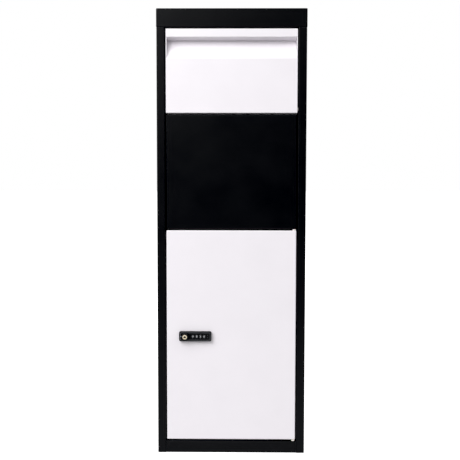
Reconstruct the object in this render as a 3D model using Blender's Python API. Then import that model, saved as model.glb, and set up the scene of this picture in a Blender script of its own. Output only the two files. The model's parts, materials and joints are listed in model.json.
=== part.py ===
"""A steel parcel locker: a drop hopper at the top, a fixed cover below it and a locked collection door.

Run it with: blender --background --python part.py
The locker stands on z = 0 with its front facing -Y, and its origin is the centre of its underside.
"""

import math

import bmesh
import bpy
from mathutils import Vector

MM = 0.001

# Overall size of the cabinet
WIDTH = 400 * MM
DEPTH = 350 * MM
HEIGHT = 1200 * MM

# Heights of the front's pieces, top to bottom; the door takes what is left
CAP_SKIRT = 50 * MM
HOPPER_HEIGHT = 222.5 * MM
COVER_HEIGHT = 306 * MM
BASE_RAIL_HEIGHT = 33 * MM

# Sheet metal
SHEET = 1.5 * MM  # cabinet, cap, cover
DOOR_SHEET = 1.2 * MM  # door and hopper
CHEEK_SHEET = 2 * MM
BRACKET_SHEET = 1.5 * MM
FOLD_RADIUS = 2.5 * MM  # outer radius of a fold
FOLD_STEPS = 4
STILE_WIDTH = 22.5 * MM
STILE_RETURN = 15 * MM
REAR_FLANGE = 20 * MM
TOP_FLANGE = 20 * MM
FLOOR_UPSTAND = 20 * MM
CAP_PROUD = 0.6 * MM  # the cap stands this far out of the sides and the front
BACK_INSET = 1 * MM  # the back panel's side edges stay this far inside the cabinet's width

# Gaps
FIT = 0.3 * MM  # between pieces that touch
RUNNING = 0.1 * MM  # radial play of a turning pin
SIDE_GAP = 2.5 * MM  # between a moving front and its stile
CAP_GAP = 3 * MM
COVER_GAP = 3.5 * MM
DOOR_GAP = 4 * MM

COVER_DEPTH = 13.5 * MM

# Drop hopper
PIVOT_SETBACK = 8 * MM  # pivot behind the front plane
PIVOT_RISE = 10.5 * MM  # pivot above the hopper's lower edge
PIN_RADIUS = 3 * MM
WASHER_RADIUS = 5 * MM
PIN_HEAD_RADIUS = 5.5 * MM
PIN_HEAD = 3.5 * MM
CLIP = 1 * MM
GRIP_STRIP = 22.5 * MM  # flat strip above the finger groove
GROOVE_DEPTH = 30 * MM
GROOVE_ROOF_DROP = 5.2 * MM
GROOVE_SLOPE = 50.3 * MM  # height of the groove's lower slope
HOPPER_TOP_FLANGE = 25 * MM
HOPPER_FOOT_FLANGE = 22 * MM
TRAY_HANG = math.radians(75)  # below the horizontal, with the hopper shut
TRAY_SETBACK = 2.5 * MM  # tray behind the end of the foot flange
TRAY_LIP = 12 * MM
TRAY_TONGUE = 5.5 * MM  # the tray's flange starts this far behind the front plane
HOPPER_OPENING = math.radians(60)
THROAT = 46 * MM  # left between the open tray's edge and the back panel
CHEEK_REAR_ANGLE = math.radians(10)
CHEEK_TAIL = 130 * MM  # how far the cheek reaches down the tray
STOP_RADIUS = 120 * MM
STOP_ANGLE = math.radians(75)
STOP_SLEEVE_RADIUS = 4 * MM
STOP_BOLT_RADIUS = 3 * MM
STOP_HEAD_RADIUS = 6 * MM
STOP_HEAD = 2.5 * MM
STOP_SLACK = 0.5 * MM

# Collection door
DOOR_DEPTH = 16 * MM
DOOR_LIP = 10 * MM
HINGE_INSET = 5.5 * MM  # hinge axis inside the door's edge
HINGE_SETBACK = 5.1 * MM  # hinge axis behind the front plane
HINGE_PIN_RADIUS = 2 * MM
BUSH_WALL = 1.1 * MM
BUSH_FLANGE_RADIUS = 5 * MM
BUSH_FLANGE = 3 * MM
BUSH_BARREL = 5 * MM
HINGE_PLATE = 3 * MM
HINGE_PLATE_LENGTH = 20 * MM
HINGE_HEAD_RADIUS = 3.2 * MM
HINGE_HEAD = 2.5 * MM
HINGE_PIN_REACH = 8 * MM  # into the door
STIFFENER_WIDTH = 44 * MM
STIFFENER_BRIM = 12 * MM
STIFFENER_DEPTH = 11 * MM
STIFFENER_SHORTFALL = 25 * MM  # at each end of the door
DOOR_STOP_HEIGHT = 30 * MM
DOOR_STOP_REACH = 18 * MM
DOOR_STOP_FROM_END = 80 * MM
PAD_RADIUS = 4 * MM
PAD_THICKNESS = 2 * MM

# Combination lock
LOCK_WIDTH = 87.5 * MM
LOCK_THICKNESS = 8.8 * MM
LOCK_CORNER = 4 * MM
LOCK_FROM_EDGE = 34 * MM
LOCK_BEVEL = 1 * MM
LOCK_WALL = 0.8 * MM
GASKET = 0.6 * MM
GASKET_RIM = 1.1 * MM  # above and below the box for the dials
KNOB_FROM_END = 16 * MM
KNOB_RADIUS = 9 * MM
KNOB_LENGTH = 11 * MM
KNOB_RECESS = 0.8 * MM
KNOB_CHAMFER = 1.2 * MM
KEY_RADIUS = 6.4 * MM
KEY_LENGTH = 7.5 * MM
KEY_EDGE = 0.5 * MM
KEYHOLE_BASE = 3.6 * MM  # half its width at the foot
KEYHOLE_TOP = 1.1 * MM  # half its width at the top
KEYHOLE_RISE = 2.6 * MM
KEYHOLE_DROP = 2.2 * MM
KEYHOLE_STEP = 1.2 * MM  # height of the straight sides
KEYHOLE_DEPTH = 5 * MM
SPINDLE_RADIUS = 4 * MM
BARREL_RADIUS = 8 * MM
BARREL_LENGTH = 12 * MM  # behind the lock's back face
NUT_RADIUS = 12.5 * MM
NUT_THICKNESS = 5 * MM
DIAL_COUNT = 4
DIAL_PITCH = 10.1 * MM
FIRST_DIAL_FROM_END = 37.3 * MM
DIAL_RADIUS = 9.6 * MM
DIAL_WIDTH = 5.2 * MM
DIAL_PROUD = 0.8 * MM
DIAL_GROOVE = 0.35 * MM
DIAL_DIGITS = 10
DIAL_CLEARANCE = 0.6 * MM
AXLE_RADIUS = 1.5 * MM
CAM_HEAD_RADIUS = 8.4 * MM
CAM_TIP_RADIUS = 4.9 * MM
CAM_THICKNESS = 2 * MM
CAM_OVERLAP = 9 * MM  # behind the stile when locked
CAM_BEHIND_DOOR = 1.1 * MM
CAM_SCREW_RADIUS = 2 * MM
CAM_SCREW_HEAD_RADIUS = 4.5 * MM
CAM_SCREW_HEAD = 2.5 * MM
CAM_SCREW_REACH = 7 * MM
STRIKE_HEIGHT = 40 * MM
STRIKE_WIDTH = 13 * MM
LOCK_SCREW_FROM_END = 7 * MM
LOCK_SCREW_RADIUS = 1.5 * MM
LOCK_SCREW_HEAD_RADIUS = 3 * MM
LOCK_SCREW_HEAD = 1.8 * MM

# Fixings and anchor holes
SCREW_RADIUS = 2 * MM
SCREW_HEAD_RADIUS = 3.75 * MM
SCREW_HEAD = 2.2 * MM
SCREW_END = 5 * MM
CAP_SCREW_INSET = 70 * MM
COVER_SCREW_INSET = 40 * MM
ANCHOR_RADIUS = 5.5 * MM
ANCHOR_INSET_X = 70 * MM
ANCHOR_INSET_Y = 65 * MM
WALL_HOLE_RADIUS = 4.5 * MM
WALL_HOLE_INSET_X = 80 * MM
WALL_HOLE_INSET_Z = 200 * MM
BAFFLE_LEG = 45 * MM
BAFFLE_CLEARANCE = 5 * MM

# Round pieces
FINE = 28
COARSE = 16
CORNER_STEPS = 5
ROUND_END_STEPS = 8
DIAL_PLACE_STEPS = 3
SMOOTH_ANGLE = math.radians(32)

# Places that follow from the sizes
FRONT = -DEPTH / 2
REAR = DEPTH / 2
OPENING_HALF = WIDTH / 2 - STILE_WIDTH
FRONT_HALF = OPENING_HALF - SIDE_GAP  # half the width of the hopper, the cover and the door
WALL_INNER = WIDTH / 2 - SHEET
REAR_FLANGE_FACE = REAR - SHEET - FIT
CAP_BOTTOM = HEIGHT - CAP_SKIRT
SIDE_TOP = CAP_BOTTOM - FIT
HOPPER_TOP = CAP_BOTTOM - CAP_GAP
HOPPER_BOTTOM = HOPPER_TOP - HOPPER_HEIGHT
COVER_TOP = HOPPER_BOTTOM - COVER_GAP
COVER_BOTTOM = COVER_TOP - COVER_HEIGHT
DOOR_TOP = COVER_BOTTOM - DOOR_GAP
DOOR_BOTTOM = BASE_RAIL_HEIGHT + DOOR_GAP
RETURN_END = FRONT + STILE_RETURN
PIVOT_Y = FRONT + PIVOT_SETBACK
PIVOT_Z = HOPPER_BOTTOM + PIVOT_RISE
CHEEK_INNER = FRONT_HALF - CHEEK_SHEET
GRIP_BOTTOM = HOPPER_TOP - GRIP_STRIP
GROOVE_ROOT_Z = GRIP_BOTTOM - GROOVE_ROOF_DROP
CREASE_Z = GROOVE_ROOT_Z - GROOVE_SLOPE
TRAY_START_Y = FRONT + HOPPER_FOOT_FLANGE + TRAY_SETBACK
TRAY_START_Z = HOPPER_BOTTOM + DOOR_SHEET + 2 * FIT
TRAY_RUN = Vector((math.cos(TRAY_HANG), -math.sin(TRAY_HANG)))
CAP_SCREW_X = WALL_INNER - TOP_FLANGE / 2
COVER_SCREW_Y = FRONT + STILE_RETURN / 2
HINGE_X = FRONT_HALF - HINGE_INSET
HINGE_Y = FRONT + HINGE_SETBACK
DOOR_REAR = FRONT + DOOR_DEPTH
LOCK_LEFT = -FRONT_HALF + LOCK_FROM_EDGE
LOCK_Z = (DOOR_TOP + DOOR_BOTTOM) / 2
LOCK_HEIGHT = 2 * (DIAL_RADIUS + DIAL_CLEARANCE + LOCK_WALL + FIT + GASKET_RIM + LOCK_BEVEL)
LOCK_BACK = FRONT - FIT - GASKET - FIT
LOCK_FACE = LOCK_BACK - LOCK_THICKNESS
KNOB_X = LOCK_LEFT + KNOB_FROM_END
LOCK_SCREW_X = LOCK_LEFT + LOCK_WIDTH - LOCK_SCREW_FROM_END
DIAL_Y = LOCK_FACE - DIAL_PROUD + DIAL_RADIUS
CAM_FRONT = DOOR_REAR + CAM_BEHIND_DOOR


# ---------------------------------------------------------------- shapes

def clear_scene():
    for leftover in list(bpy.data.objects):
        bpy.data.objects.remove(leftover)


def finish_material(name, colour, roughness, metallic=0.0):
    """A Principled material, its colour in linear RGB."""
    material = bpy.data.materials.new(name)
    material.use_nodes = True
    shader = material.node_tree.nodes["Principled BSDF"]
    shader.inputs["Base Color"].default_value = (*colour, 1.0)
    shader.inputs["Roughness"].default_value = roughness
    shader.inputs["Metallic"].default_value = metallic
    material.diffuse_color = (*colour, 1.0)
    return material


def add_object(name, mesh_data, material=None):
    """Closes up the bmesh into an object with outward faces and smooth round stretches."""
    bmesh.ops.recalc_face_normals(mesh_data, faces=mesh_data.faces[:])
    mesh = bpy.data.meshes.new(name)
    mesh_data.to_mesh(mesh)
    mesh_data.free()
    mesh.shade_smooth()
    mesh.set_sharp_from_angle(angle=SMOOTH_ANGLE)
    if material is not None:
        mesh.materials.append(material)
    made = bpy.data.objects.new(name, mesh)
    bpy.context.scene.collection.objects.link(made)
    return made


def along(axis, across, distance):
    """The point at distance along the axis and at across, in X, Y, Z order, on the other two axes."""
    point = list(across)
    point.insert("XYZ".index(axis), distance)
    return Vector(point)


def prism(name, outline, axis, low, high, material=None):
    """The outline, a closed list of points across the axis, extruded from low to high."""
    shape = bmesh.new()
    lower = [shape.verts.new(along(axis, point, low)) for point in outline]
    upper = [shape.verts.new(along(axis, point, high)) for point in outline]
    shape.faces.new(lower)
    shape.faces.new(upper)
    for i in range(len(outline)):
        j = (i + 1) % len(outline)
        shape.faces.new((lower[i], lower[j], upper[j], upper[i]))
    return add_object(name, shape, material)


def block(name, low, high, material=None, radius=0.0):
    """A box between two corners, its edges rounded when a radius is given."""
    shape = bmesh.new()
    bmesh.ops.create_cube(shape, size=1.0)
    for vert in shape.verts:
        vert.co = Vector(
            (high[i] if vert.co[i] > 0 else low[i]) for i in range(3)
        )
    if radius > 0:
        bmesh.ops.bevel(
            shape, geom=shape.edges[:], offset=radius, segments=FOLD_STEPS - 1,
            profile=0.5, affect="EDGES",
        )
    return add_object(name, shape, material)


def turned(name, axis, centre, section, material=None, segments=FINE):
    """A turned piece: section lists (radius, distance along the axis) round the cut face.

    It starts and ends on the axis for a solid piece, and closes on itself for a ring.
    """
    shape = bmesh.new()
    rings = []
    for radius, distance in section:
        count = segments if radius > 0 else 1
        ring = []
        for i in range(count):
            angle = 2 * math.pi * (i + 0.5) / segments
            across = (
                centre[0] + radius * math.cos(angle),
                centre[1] + radius * math.sin(angle),
            )
            ring.append(shape.verts.new(along(axis, across, distance)))
        rings.append(ring)
    pairs = list(zip(rings, rings[1:]))
    if section[0][0] > 0:
        pairs.append((rings[-1], rings[0]))
    for first, second in pairs:
        for i in range(segments):
            j = (i + 1) % segments
            corners = [first[i % len(first)], first[j % len(first)]]
            corners += [second[j % len(second)], second[i % len(second)]]
            corners = [v for k, v in enumerate(corners) if v not in corners[:k]]
            if len(corners) > 2:
                shape.faces.new(corners)
    return add_object(name, shape, material)


def rod(name, axis, centre, radius, low, high, material=None, segments=COARSE):
    section = [(0, low), (radius, low), (radius, high), (0, high)]
    return turned(name, axis, centre, section, material, segments)


def headed_pin(name, axis, centre, pin, head, material, segments=COARSE):
    """A pin with a head: pin and head are each (radius, low, high), one ending where the other starts."""
    first, second = sorted((pin, head), key=lambda stretch: stretch[1])
    section = [(0, first[1]), (first[0], first[1]), (first[0], first[2])]
    section += [(second[0], first[2]), (second[0], second[2]), (0, second[2])]
    return turned(name, axis, centre, section, material, segments)


def ring(name, axis, centre, inner, outer, low, high, material=None, segments=COARSE):
    section = [(inner, low), (outer, low), (outer, high), (inner, high)]
    return turned(name, axis, centre, section, material, segments)


def offset_line(points, distance):
    """The open line of points moved sideways, to its left for a positive distance."""
    points = [Vector(point) for point in points]
    normals = []
    for start, end in zip(points, points[1:]):
        run = (end - start).normalized()
        normals.append(Vector((-run.y, run.x)))
    moved = [points[0] + normals[0] * distance]
    for point, before, after in zip(points[1:], normals, normals[1:]):
        middle = (before + after).normalized()
        moved.append(point + middle * distance / middle.dot(before))
    moved.append(points[-1] + normals[-1] * distance)
    return moved


def rounded_line(points, radius):
    """The open line of points with an arc at each inner corner."""
    points = [Vector(point) for point in points]
    line = [points[0]]
    for before, corner, after in zip(points, points[1:], points[2:]):
        into = (corner - before).normalized()
        out = (after - corner).normalized()
        turn = into.angle_signed(out)
        reach = radius * math.tan(abs(turn) / 2)
        steps = max(2, round(FOLD_STEPS * abs(turn) / (math.pi / 2)))
        bisector = (out - into).normalized()
        centre = corner + bisector * math.hypot(radius, reach)
        start = corner - into * reach - centre
        for i in range(steps + 1):
            angle = -turn * i / steps
            line.append(centre + Vector((
                start.x * math.cos(angle) - start.y * math.sin(angle),
                start.x * math.sin(angle) + start.y * math.cos(angle),
            )))
    line.append(points[-1])
    return line


def sheet_outline(face_line, thickness, radius=FOLD_RADIUS):
    """The cut edge of a folded sheet whose one face follows face_line, the sheet to its left."""
    middle = rounded_line(offset_line(face_line, thickness / 2), radius - thickness / 2)
    return offset_line(middle, thickness / 2) + offset_line(middle, -thickness / 2)[::-1]


def circle(centre, radius, segments=COARSE):
    points = []
    for i in range(segments):
        angle = 2 * math.pi * (i + 0.5) / segments
        points.append((centre[0] + radius * math.cos(angle), centre[1] + radius * math.sin(angle)))
    return points


def arc(centre, radius, start, end, steps):
    points = []
    for i in range(steps + 1):
        angle = start + (end - start) * i / steps
        points.append((centre[0] + radius * math.cos(angle), centre[1] + radius * math.sin(angle)))
    return points


def combine(target, tool, operation):
    """Cuts the tool out of the target, or joins it on, with a Boolean; the tool stays as a guide."""
    tool.hide_render = True
    tool.display_type = "WIRE"
    step = target.modifiers.new(tool.name, "BOOLEAN")
    step.operation = operation
    step.object = tool
    step.solver = "EXACT"


def cut(target, *tools):
    for tool in tools:
        combine(target, tool, "DIFFERENCE")


def join(target, *tools):
    for tool in tools:
        combine(target, tool, "UNION")


def drill(target, axis, centre, radius, low, high, segments=COARSE):
    """A round hole in the target."""
    count = len(target.modifiers)
    cut(target, prism(f"{target.name}_hole_{count}", circle(centre, radius, segments), axis, low, high))


def turn_about(piece, point):
    """Puts the piece's origin on its joint's axis, its shape where it was."""
    for vert in piece.data.vertices:
        vert.co -= Vector(point)
    piece.location = point


# ---------------------------------------------------------------- cabinet

def screw(name, axis, centre, seat, outward, grip, material):
    """A pan-head screw whose head sits on seat; outward is the head's side, grip what it holds."""
    head_under = seat + outward * FIT
    head = sorted((head_under, head_under + outward * SCREW_HEAD))
    shank = sorted((head_under, seat - outward * (grip + SCREW_END)))
    headed_pin(name, axis, centre, (SCREW_RADIUS, *shank), (SCREW_HEAD_RADIUS, *head), material)


def side_panel(name, side, material):
    """One folded sheet: front stile with its return, side wall, rear flange and cap flange."""
    face_line = [
        (OPENING_HALF, RETURN_END),
        (OPENING_HALF, FRONT),
        (WIDTH / 2, FRONT),
        (WIDTH / 2, REAR_FLANGE_FACE),
        (WIDTH / 2 - REAR_FLANGE, REAR_FLANGE_FACE),
    ]
    outline = [(side * x, y) for x, y in sheet_outline(face_line, SHEET)]
    panel = prism(name, outline, "Z", 0, SIDE_TOP, material)
    flange_x = sorted((side * (WALL_INNER - TOP_FLANGE), side * (WALL_INNER + SHEET / 2)))
    flange = block(
        name + "_cap_flange",
        (flange_x[0], RETURN_END + TOP_FLANGE, SIDE_TOP - SHEET),
        (flange_x[1], REAR_FLANGE_FACE - 2 * TOP_FLANGE, SIDE_TOP),
    )
    join(panel, flange)
    for y, _ in cap_screw_places():
        drill(panel, "Z", (side * CAP_SCREW_X, y), SCREW_RADIUS + FIT, SIDE_TOP - 2 * SHEET, SIDE_TOP + SHEET)
    reach = sorted((side * (OPENING_HALF - SHEET), side * (OPENING_HALF + 2 * SHEET)))
    drill(panel, "X", (PIVOT_Y, PIVOT_Z), PIN_RADIUS + FIT, *reach)
    for z in cover_screw_heights():
        drill(panel, "X", (COVER_SCREW_Y, z), SCREW_RADIUS + FIT, *reach)


def cap_screw_places():
    """(y, name) of the cap's screws on each side."""
    return [(FRONT + CAP_SCREW_INSET, "front"), (REAR - CAP_SCREW_INSET, "rear")]


def cover_screw_heights():
    return [COVER_BOTTOM + COVER_SCREW_INSET, COVER_TOP - COVER_SCREW_INSET]


def back_panel(material):
    """The flat back, drilled for fixing to a wall, with a flange under the cap's rear edge."""
    half = WIDTH / 2 - BACK_INSET
    panel = block("back_panel", (-half, REAR - SHEET, FIT), (half, REAR, SIDE_TOP), material)
    flange_half = WIDTH / 2 - REAR_FLANGE - SIDE_GAP
    flange = block(
        "back_panel_cap_flange",
        (-flange_half, REAR - TOP_FLANGE, SIDE_TOP - SHEET),
        (flange_half, REAR - SHEET / 2, SIDE_TOP),
    )
    join(panel, flange)
    x = WIDTH / 2 - WALL_HOLE_INSET_X
    for z in (WALL_HOLE_INSET_Z, HEIGHT - WALL_HOLE_INSET_Z):
        for side in (-1, 1):
            drill(panel, "Y", (side * x, z), WALL_HOLE_RADIUS, REAR - 2 * SHEET, REAR + SHEET)


def floor_pan(material):
    """The floor with its anchor holes, folded up at the front into the rail under the door."""
    rail_half = OPENING_HALF - FIT
    floor_rear = REAR_FLANGE_FACE - SHEET - FIT
    face_line = [
        (RETURN_END, BASE_RAIL_HEIGHT),
        (FRONT, BASE_RAIL_HEIGHT),
        (FRONT, 0),
        (floor_rear, 0),
        (floor_rear, FLOOR_UPSTAND),
    ]
    pan = prism("floor_pan", sheet_outline(face_line, SHEET), "X", -rail_half, rail_half, material)
    wall = WALL_INNER - FIT
    for side in (-1, 1):
        section = sheet_outline(
            [(rail_half - REAR_FLANGE, 0), (wall, 0), (wall, FLOOR_UPSTAND)], SHEET
        )
        outline = [(side * x, z) for x, z in section]
        wing = prism(
            f"floor_pan_wing_{side}", outline, "Y", RETURN_END + 2 * FIT, floor_rear - FOLD_RADIUS
        )
        join(pan, wing)
    for side_x in (-1, 1):
        for side_y in (-1, 1):
            centre = (side_x * (WIDTH / 2 - ANCHOR_INSET_X), side_y * (DEPTH / 2 - ANCHOR_INSET_Y))
            drill(pan, "Z", centre, ANCHOR_RADIUS, -SHEET, 2 * SHEET)
    drill(
        pan, "Z", (HINGE_X, HINGE_Y), HINGE_PIN_RADIUS + FIT,
        BASE_RAIL_HEIGHT - 2 * SHEET, BASE_RAIL_HEIGHT + SHEET,
    )


def top_cap(material):
    """The folded cap: top, four skirts and an inward return that sits on the cabinet."""
    half = WIDTH / 2 + CAP_PROUD
    front = FRONT - CAP_PROUD
    cap = block("top_cap", (-half, front, CAP_BOTTOM), (half, REAR, HEIGHT), material, FOLD_RADIUS)
    hollow = block(
        "top_cap_hollow",
        (-half + SHEET, front + SHEET, CAP_BOTTOM + SHEET),
        (half - SHEET, REAR - SHEET, HEIGHT - SHEET),
    )
    mouth_inset = SHEET + TOP_FLANGE
    mouth = block(
        "top_cap_mouth",
        (-half + mouth_inset, front + mouth_inset, CAP_BOTTOM - SHEET),
        (half - mouth_inset, REAR - mouth_inset, CAP_BOTTOM + 2 * SHEET),
    )
    cut(cap, hollow, mouth)
    for side in (-1, 1):
        for y, _ in cap_screw_places():
            drill(
                cap, "Z", (side * CAP_SCREW_X, y), SCREW_RADIUS + FIT,
                CAP_BOTTOM - SHEET, CAP_BOTTOM + 2 * SHEET,
            )


def cap_screws(material):
    for side, side_name in ((-1, "left"), (1, "right")):
        for y, end in cap_screw_places():
            screw(
                f"cap_screw_{end}_{side_name}", "Z", (side * CAP_SCREW_X, y),
                SIDE_TOP - SHEET, -1, 2 * SHEET + FIT, material,
            )


def chute_cover(material):
    """The fixed black pan between the hopper and the door, open at its back."""
    rear = FRONT + COVER_DEPTH
    cover = block(
        "chute_cover", (-FRONT_HALF, FRONT, COVER_BOTTOM),
        (FRONT_HALF, rear + 2 * FOLD_RADIUS, COVER_TOP), material, FOLD_RADIUS,
    )
    hollow = block(
        "chute_cover_hollow",
        (-FRONT_HALF + SHEET, FRONT + SHEET, COVER_BOTTOM + SHEET),
        (FRONT_HALF - SHEET, rear + SHEET, COVER_TOP - SHEET),
    )
    back = block(
        "chute_cover_back",
        (-FRONT_HALF - SHEET, rear, COVER_BOTTOM - SHEET),
        (FRONT_HALF + SHEET, rear + 3 * FOLD_RADIUS, COVER_TOP + SHEET),
    )
    cut(cover, hollow, back)
    for side in (-1, 1):
        reach = sorted((side * (FRONT_HALF - 2 * SHEET), side * (FRONT_HALF + SHEET)))
        for z in cover_screw_heights():
            drill(cover, "X", (COVER_SCREW_Y, z), SCREW_RADIUS + FIT, *reach)
    drill(
        cover, "Z", (HINGE_X, HINGE_Y), HINGE_PIN_RADIUS + FIT,
        COVER_BOTTOM - SHEET, COVER_BOTTOM + 2 * SHEET,
    )


def cover_screws(material):
    for side, side_name in ((-1, "left"), (1, "right")):
        for z, end in zip(cover_screw_heights(), ("lower", "upper")):
            screw(
                f"cover_screw_{end}_{side_name}", "X", (COVER_SCREW_Y, z),
                side * (FRONT_HALF - SHEET), -side, 2 * SHEET + SIDE_GAP, material,
            )


# ---------------------------------------------------------------- hopper

def tray_length():
    """Long enough that the open tray's edge stops THROAT in front of the back panel."""
    start = Vector((TRAY_START_Y - PIVOT_Y, TRAY_START_Z - PIVOT_Z))
    turn = HOPPER_OPENING
    start_y = start.x * math.cos(turn) - start.y * math.sin(turn)
    reach = REAR - SHEET - THROAT - PIVOT_Y - start_y
    return reach / math.cos(TRAY_HANG - turn)


def tray_end():
    return Vector((TRAY_START_Y, TRAY_START_Z)) + TRAY_RUN * tray_length()


def hopper_front(material):
    """The folded front: top flange, grip strip, finger groove, flat panel and foot flange."""
    root = (FRONT + GROOVE_DEPTH, GROOVE_ROOT_Z)
    face_line = [
        (FRONT + HOPPER_TOP_FLANGE, HOPPER_TOP),
        (FRONT, HOPPER_TOP),
        (FRONT, GRIP_BOTTOM),
        root,
        (FRONT, CREASE_Z),
        (FRONT, HOPPER_BOTTOM),
        (FRONT + HOPPER_FOOT_FLANGE, HOPPER_BOTTOM),
    ]
    front = prism(
        "hopper_front", sheet_outline(face_line, DOOR_SHEET), "X", -FRONT_HALF, FRONT_HALF, material
    )
    for side in (-1, 1):
        ends = sorted((side * (CHEEK_INNER - FIT), side * (FRONT_HALF + SHEET)))
        behind = block(
            f"hopper_front_notch_{side}",
            (ends[0], FRONT + DOOR_SHEET, CREASE_Z - FOLD_RADIUS),
            (ends[1], FRONT + GROOVE_DEPTH + DOOR_SHEET, GRIP_BOTTOM + FOLD_RADIUS),
        )
        mouth = block(
            f"hopper_front_mouth_{side}",
            (ends[0], FRONT - SHEET, CREASE_Z + FOLD_RADIUS),
            (ends[1], FRONT + 2 * DOOR_SHEET, GRIP_BOTTOM - FOLD_RADIUS),
        )
        cut(front, behind, mouth)
    turn_about(front, (0, PIVOT_Y, PIVOT_Z))


def hopper_cheek(name, side, material):
    """The side of the hopper: it closes the groove's end and guards the gap when the hopper is open."""
    pivot = (PIVOT_Y, PIVOT_Z)
    edge = FRONT + DOOR_SHEET + FIT
    foot = HOPPER_BOTTOM + DOOR_SHEET + FIT
    radius = HOPPER_TOP - DOOR_SHEET - FIT - PIVOT_Z
    top = math.pi - math.acos((PIVOT_Y - edge - FOLD_RADIUS) / radius)
    tail = Vector((TRAY_START_Y, TRAY_START_Z)) + TRAY_RUN * CHEEK_TAIL
    tail_width = Vector((-TRAY_RUN.y, TRAY_RUN.x)) * (DOOR_SHEET + FIT)
    outline = [(edge, foot + FOLD_RADIUS), (edge + FOLD_RADIUS, foot), (TRAY_START_Y - FIT, foot)]
    outline += [tuple(tail), tuple(tail + tail_width)]
    outline += arc(pivot, radius, CHEEK_REAR_ANGLE, top, FINE)
    outline.append((edge, PIVOT_Z + radius - FOLD_RADIUS))
    nose_top = GRIP_BOTTOM - FOLD_RADIUS - FIT
    nose_foot = CREASE_Z + FOLD_RADIUS + FIT
    outline += [(edge, nose_top), (FRONT, nose_top), (FRONT, nose_foot), (edge, nose_foot)]
    faces = sorted((side * CHEEK_INNER, side * FRONT_HALF))
    cheek = prism(name, outline, "X", *faces, material)
    reach = (faces[0] - SHEET, faces[1] + SHEET)
    drill(cheek, "X", pivot, PIN_RADIUS + RUNNING, *reach)
    # The slot runs from the stop bolt back by the opening angle, with a round end at each end.
    half = STOP_SLEEVE_RADIUS + FIT
    slack = STOP_SLACK / STOP_RADIUS
    high = STOP_ANGLE + slack
    low = STOP_ANGLE - HOPPER_OPENING - slack
    slot = arc(pivot, STOP_RADIUS + half, low, high, COARSE)
    high_end = arc(pivot, STOP_RADIUS, high, high, 1)[0]
    low_end = arc(pivot, STOP_RADIUS, low, low, 1)[0]
    slot += arc(high_end, half, high, high + math.pi, ROUND_END_STEPS)[1:-1]
    slot += arc(pivot, STOP_RADIUS - half, high, low, COARSE)
    slot += arc(low_end, half, low + math.pi, low + 2 * math.pi, ROUND_END_STEPS)[1:-1]
    cut(cheek, prism(name + "_slot", slot, "X", *reach))
    turn_about(cheek, (0, PIVOT_Y, PIVOT_Z))


def hopper_tray(material):
    """The tray that carries the parcel, hanging behind the cover while the hopper is shut."""
    end = tray_end()
    lip = end + Vector((TRAY_RUN.y, -TRAY_RUN.x)) * TRAY_LIP
    face_line = [
        (FRONT + TRAY_TONGUE, TRAY_START_Z),
        (TRAY_START_Y, TRAY_START_Z),
        tuple(end),
        tuple(lip),
    ]
    half = CHEEK_INNER - FIT
    tray = prism("hopper_tray", sheet_outline(face_line, DOOR_SHEET), "X", -half, half, material)
    turn_about(tray, (0, PIVOT_Y, PIVOT_Z))


def hopper_pivots(steel, nylon):
    """On each side: a pin fixed in the stile's return, a washer in the gap and a clip inside."""
    pivot = (PIVOT_Y, PIVOT_Z)
    clip_outer = CHEEK_INNER - FIT
    clip_inner = clip_outer - CLIP
    head_start = OPENING_HALF + SHEET + FIT
    for side, side_name in ((-1, "left"), (1, "right")):
        shank = sorted((side * (clip_inner - CLIP), side * head_start))
        head = sorted((side * head_start, side * (head_start + PIN_HEAD)))
        headed_pin(
            f"hopper_pivot_pin_{side_name}", "X", pivot,
            (PIN_RADIUS, *shank), (PIN_HEAD_RADIUS, *head), steel,
        )
        washer = sorted((side * (FRONT_HALF + FIT), side * (OPENING_HALF - FIT)))
        ring(f"hopper_washer_{side_name}", "X", pivot, PIN_RADIUS + FIT, WASHER_RADIUS, *washer, nylon)
        clip = sorted((side * clip_inner, side * clip_outer))
        ring(f"hopper_clip_{side_name}", "X", pivot, PIN_RADIUS + FIT, WASHER_RADIUS, *clip, steel)


def hopper_stops(steel, rubber, paint):
    """On each side: a bracket on the wall with a bolt that runs in the cheek's slot."""
    y = PIVOT_Y + STOP_RADIUS * math.cos(STOP_ANGLE)
    z = PIVOT_Z + STOP_RADIUS * math.sin(STOP_ANGLE)
    foot = WALL_INNER - FIT - BRACKET_SHEET
    face = OPENING_HALF
    foot_y = y + STOP_HEAD_RADIUS + 2 * BRACKET_SHEET
    bracket_line = [
        (face, y - STOP_HEAD_RADIUS - BRACKET_SHEET),
        (face, foot_y),
        (foot, foot_y),
        (foot, foot_y + TOP_FLANGE),
    ]
    bolt_end = face + BRACKET_SHEET + FIT
    head_start = CHEEK_INNER - 2 * FIT
    for side, side_name in ((-1, "left"), (1, "right")):
        outline = [(side * px, py) for px, py in sheet_outline(bracket_line, -BRACKET_SHEET)]
        bracket = prism(
            f"hopper_stop_bracket_{side_name}", outline, "Z",
            z - 2 * STOP_HEAD_RADIUS, z + 2 * STOP_HEAD_RADIUS, paint,
        )
        reach = sorted((side * (face - SHEET), side * (face + 2 * BRACKET_SHEET)))
        drill(bracket, "X", (y, z), STOP_BOLT_RADIUS + FIT, *reach)
        shank = sorted((side * head_start, side * (bolt_end + PIN_HEAD)))
        head = sorted((side * (head_start - STOP_HEAD), side * head_start))
        headed_pin(
            f"hopper_stop_bolt_{side_name}", "X", (y, z),
            (STOP_BOLT_RADIUS, *shank), (STOP_HEAD_RADIUS, *head), steel,
        )
        sleeve = sorted((side * (head_start + FIT), side * (face - FIT)))
        ring(
            f"hopper_stop_sleeve_{side_name}", "X", (y, z),
            STOP_BOLT_RADIUS + FIT, STOP_SLEEVE_RADIUS, *sleeve, rubber,
        )


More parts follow.
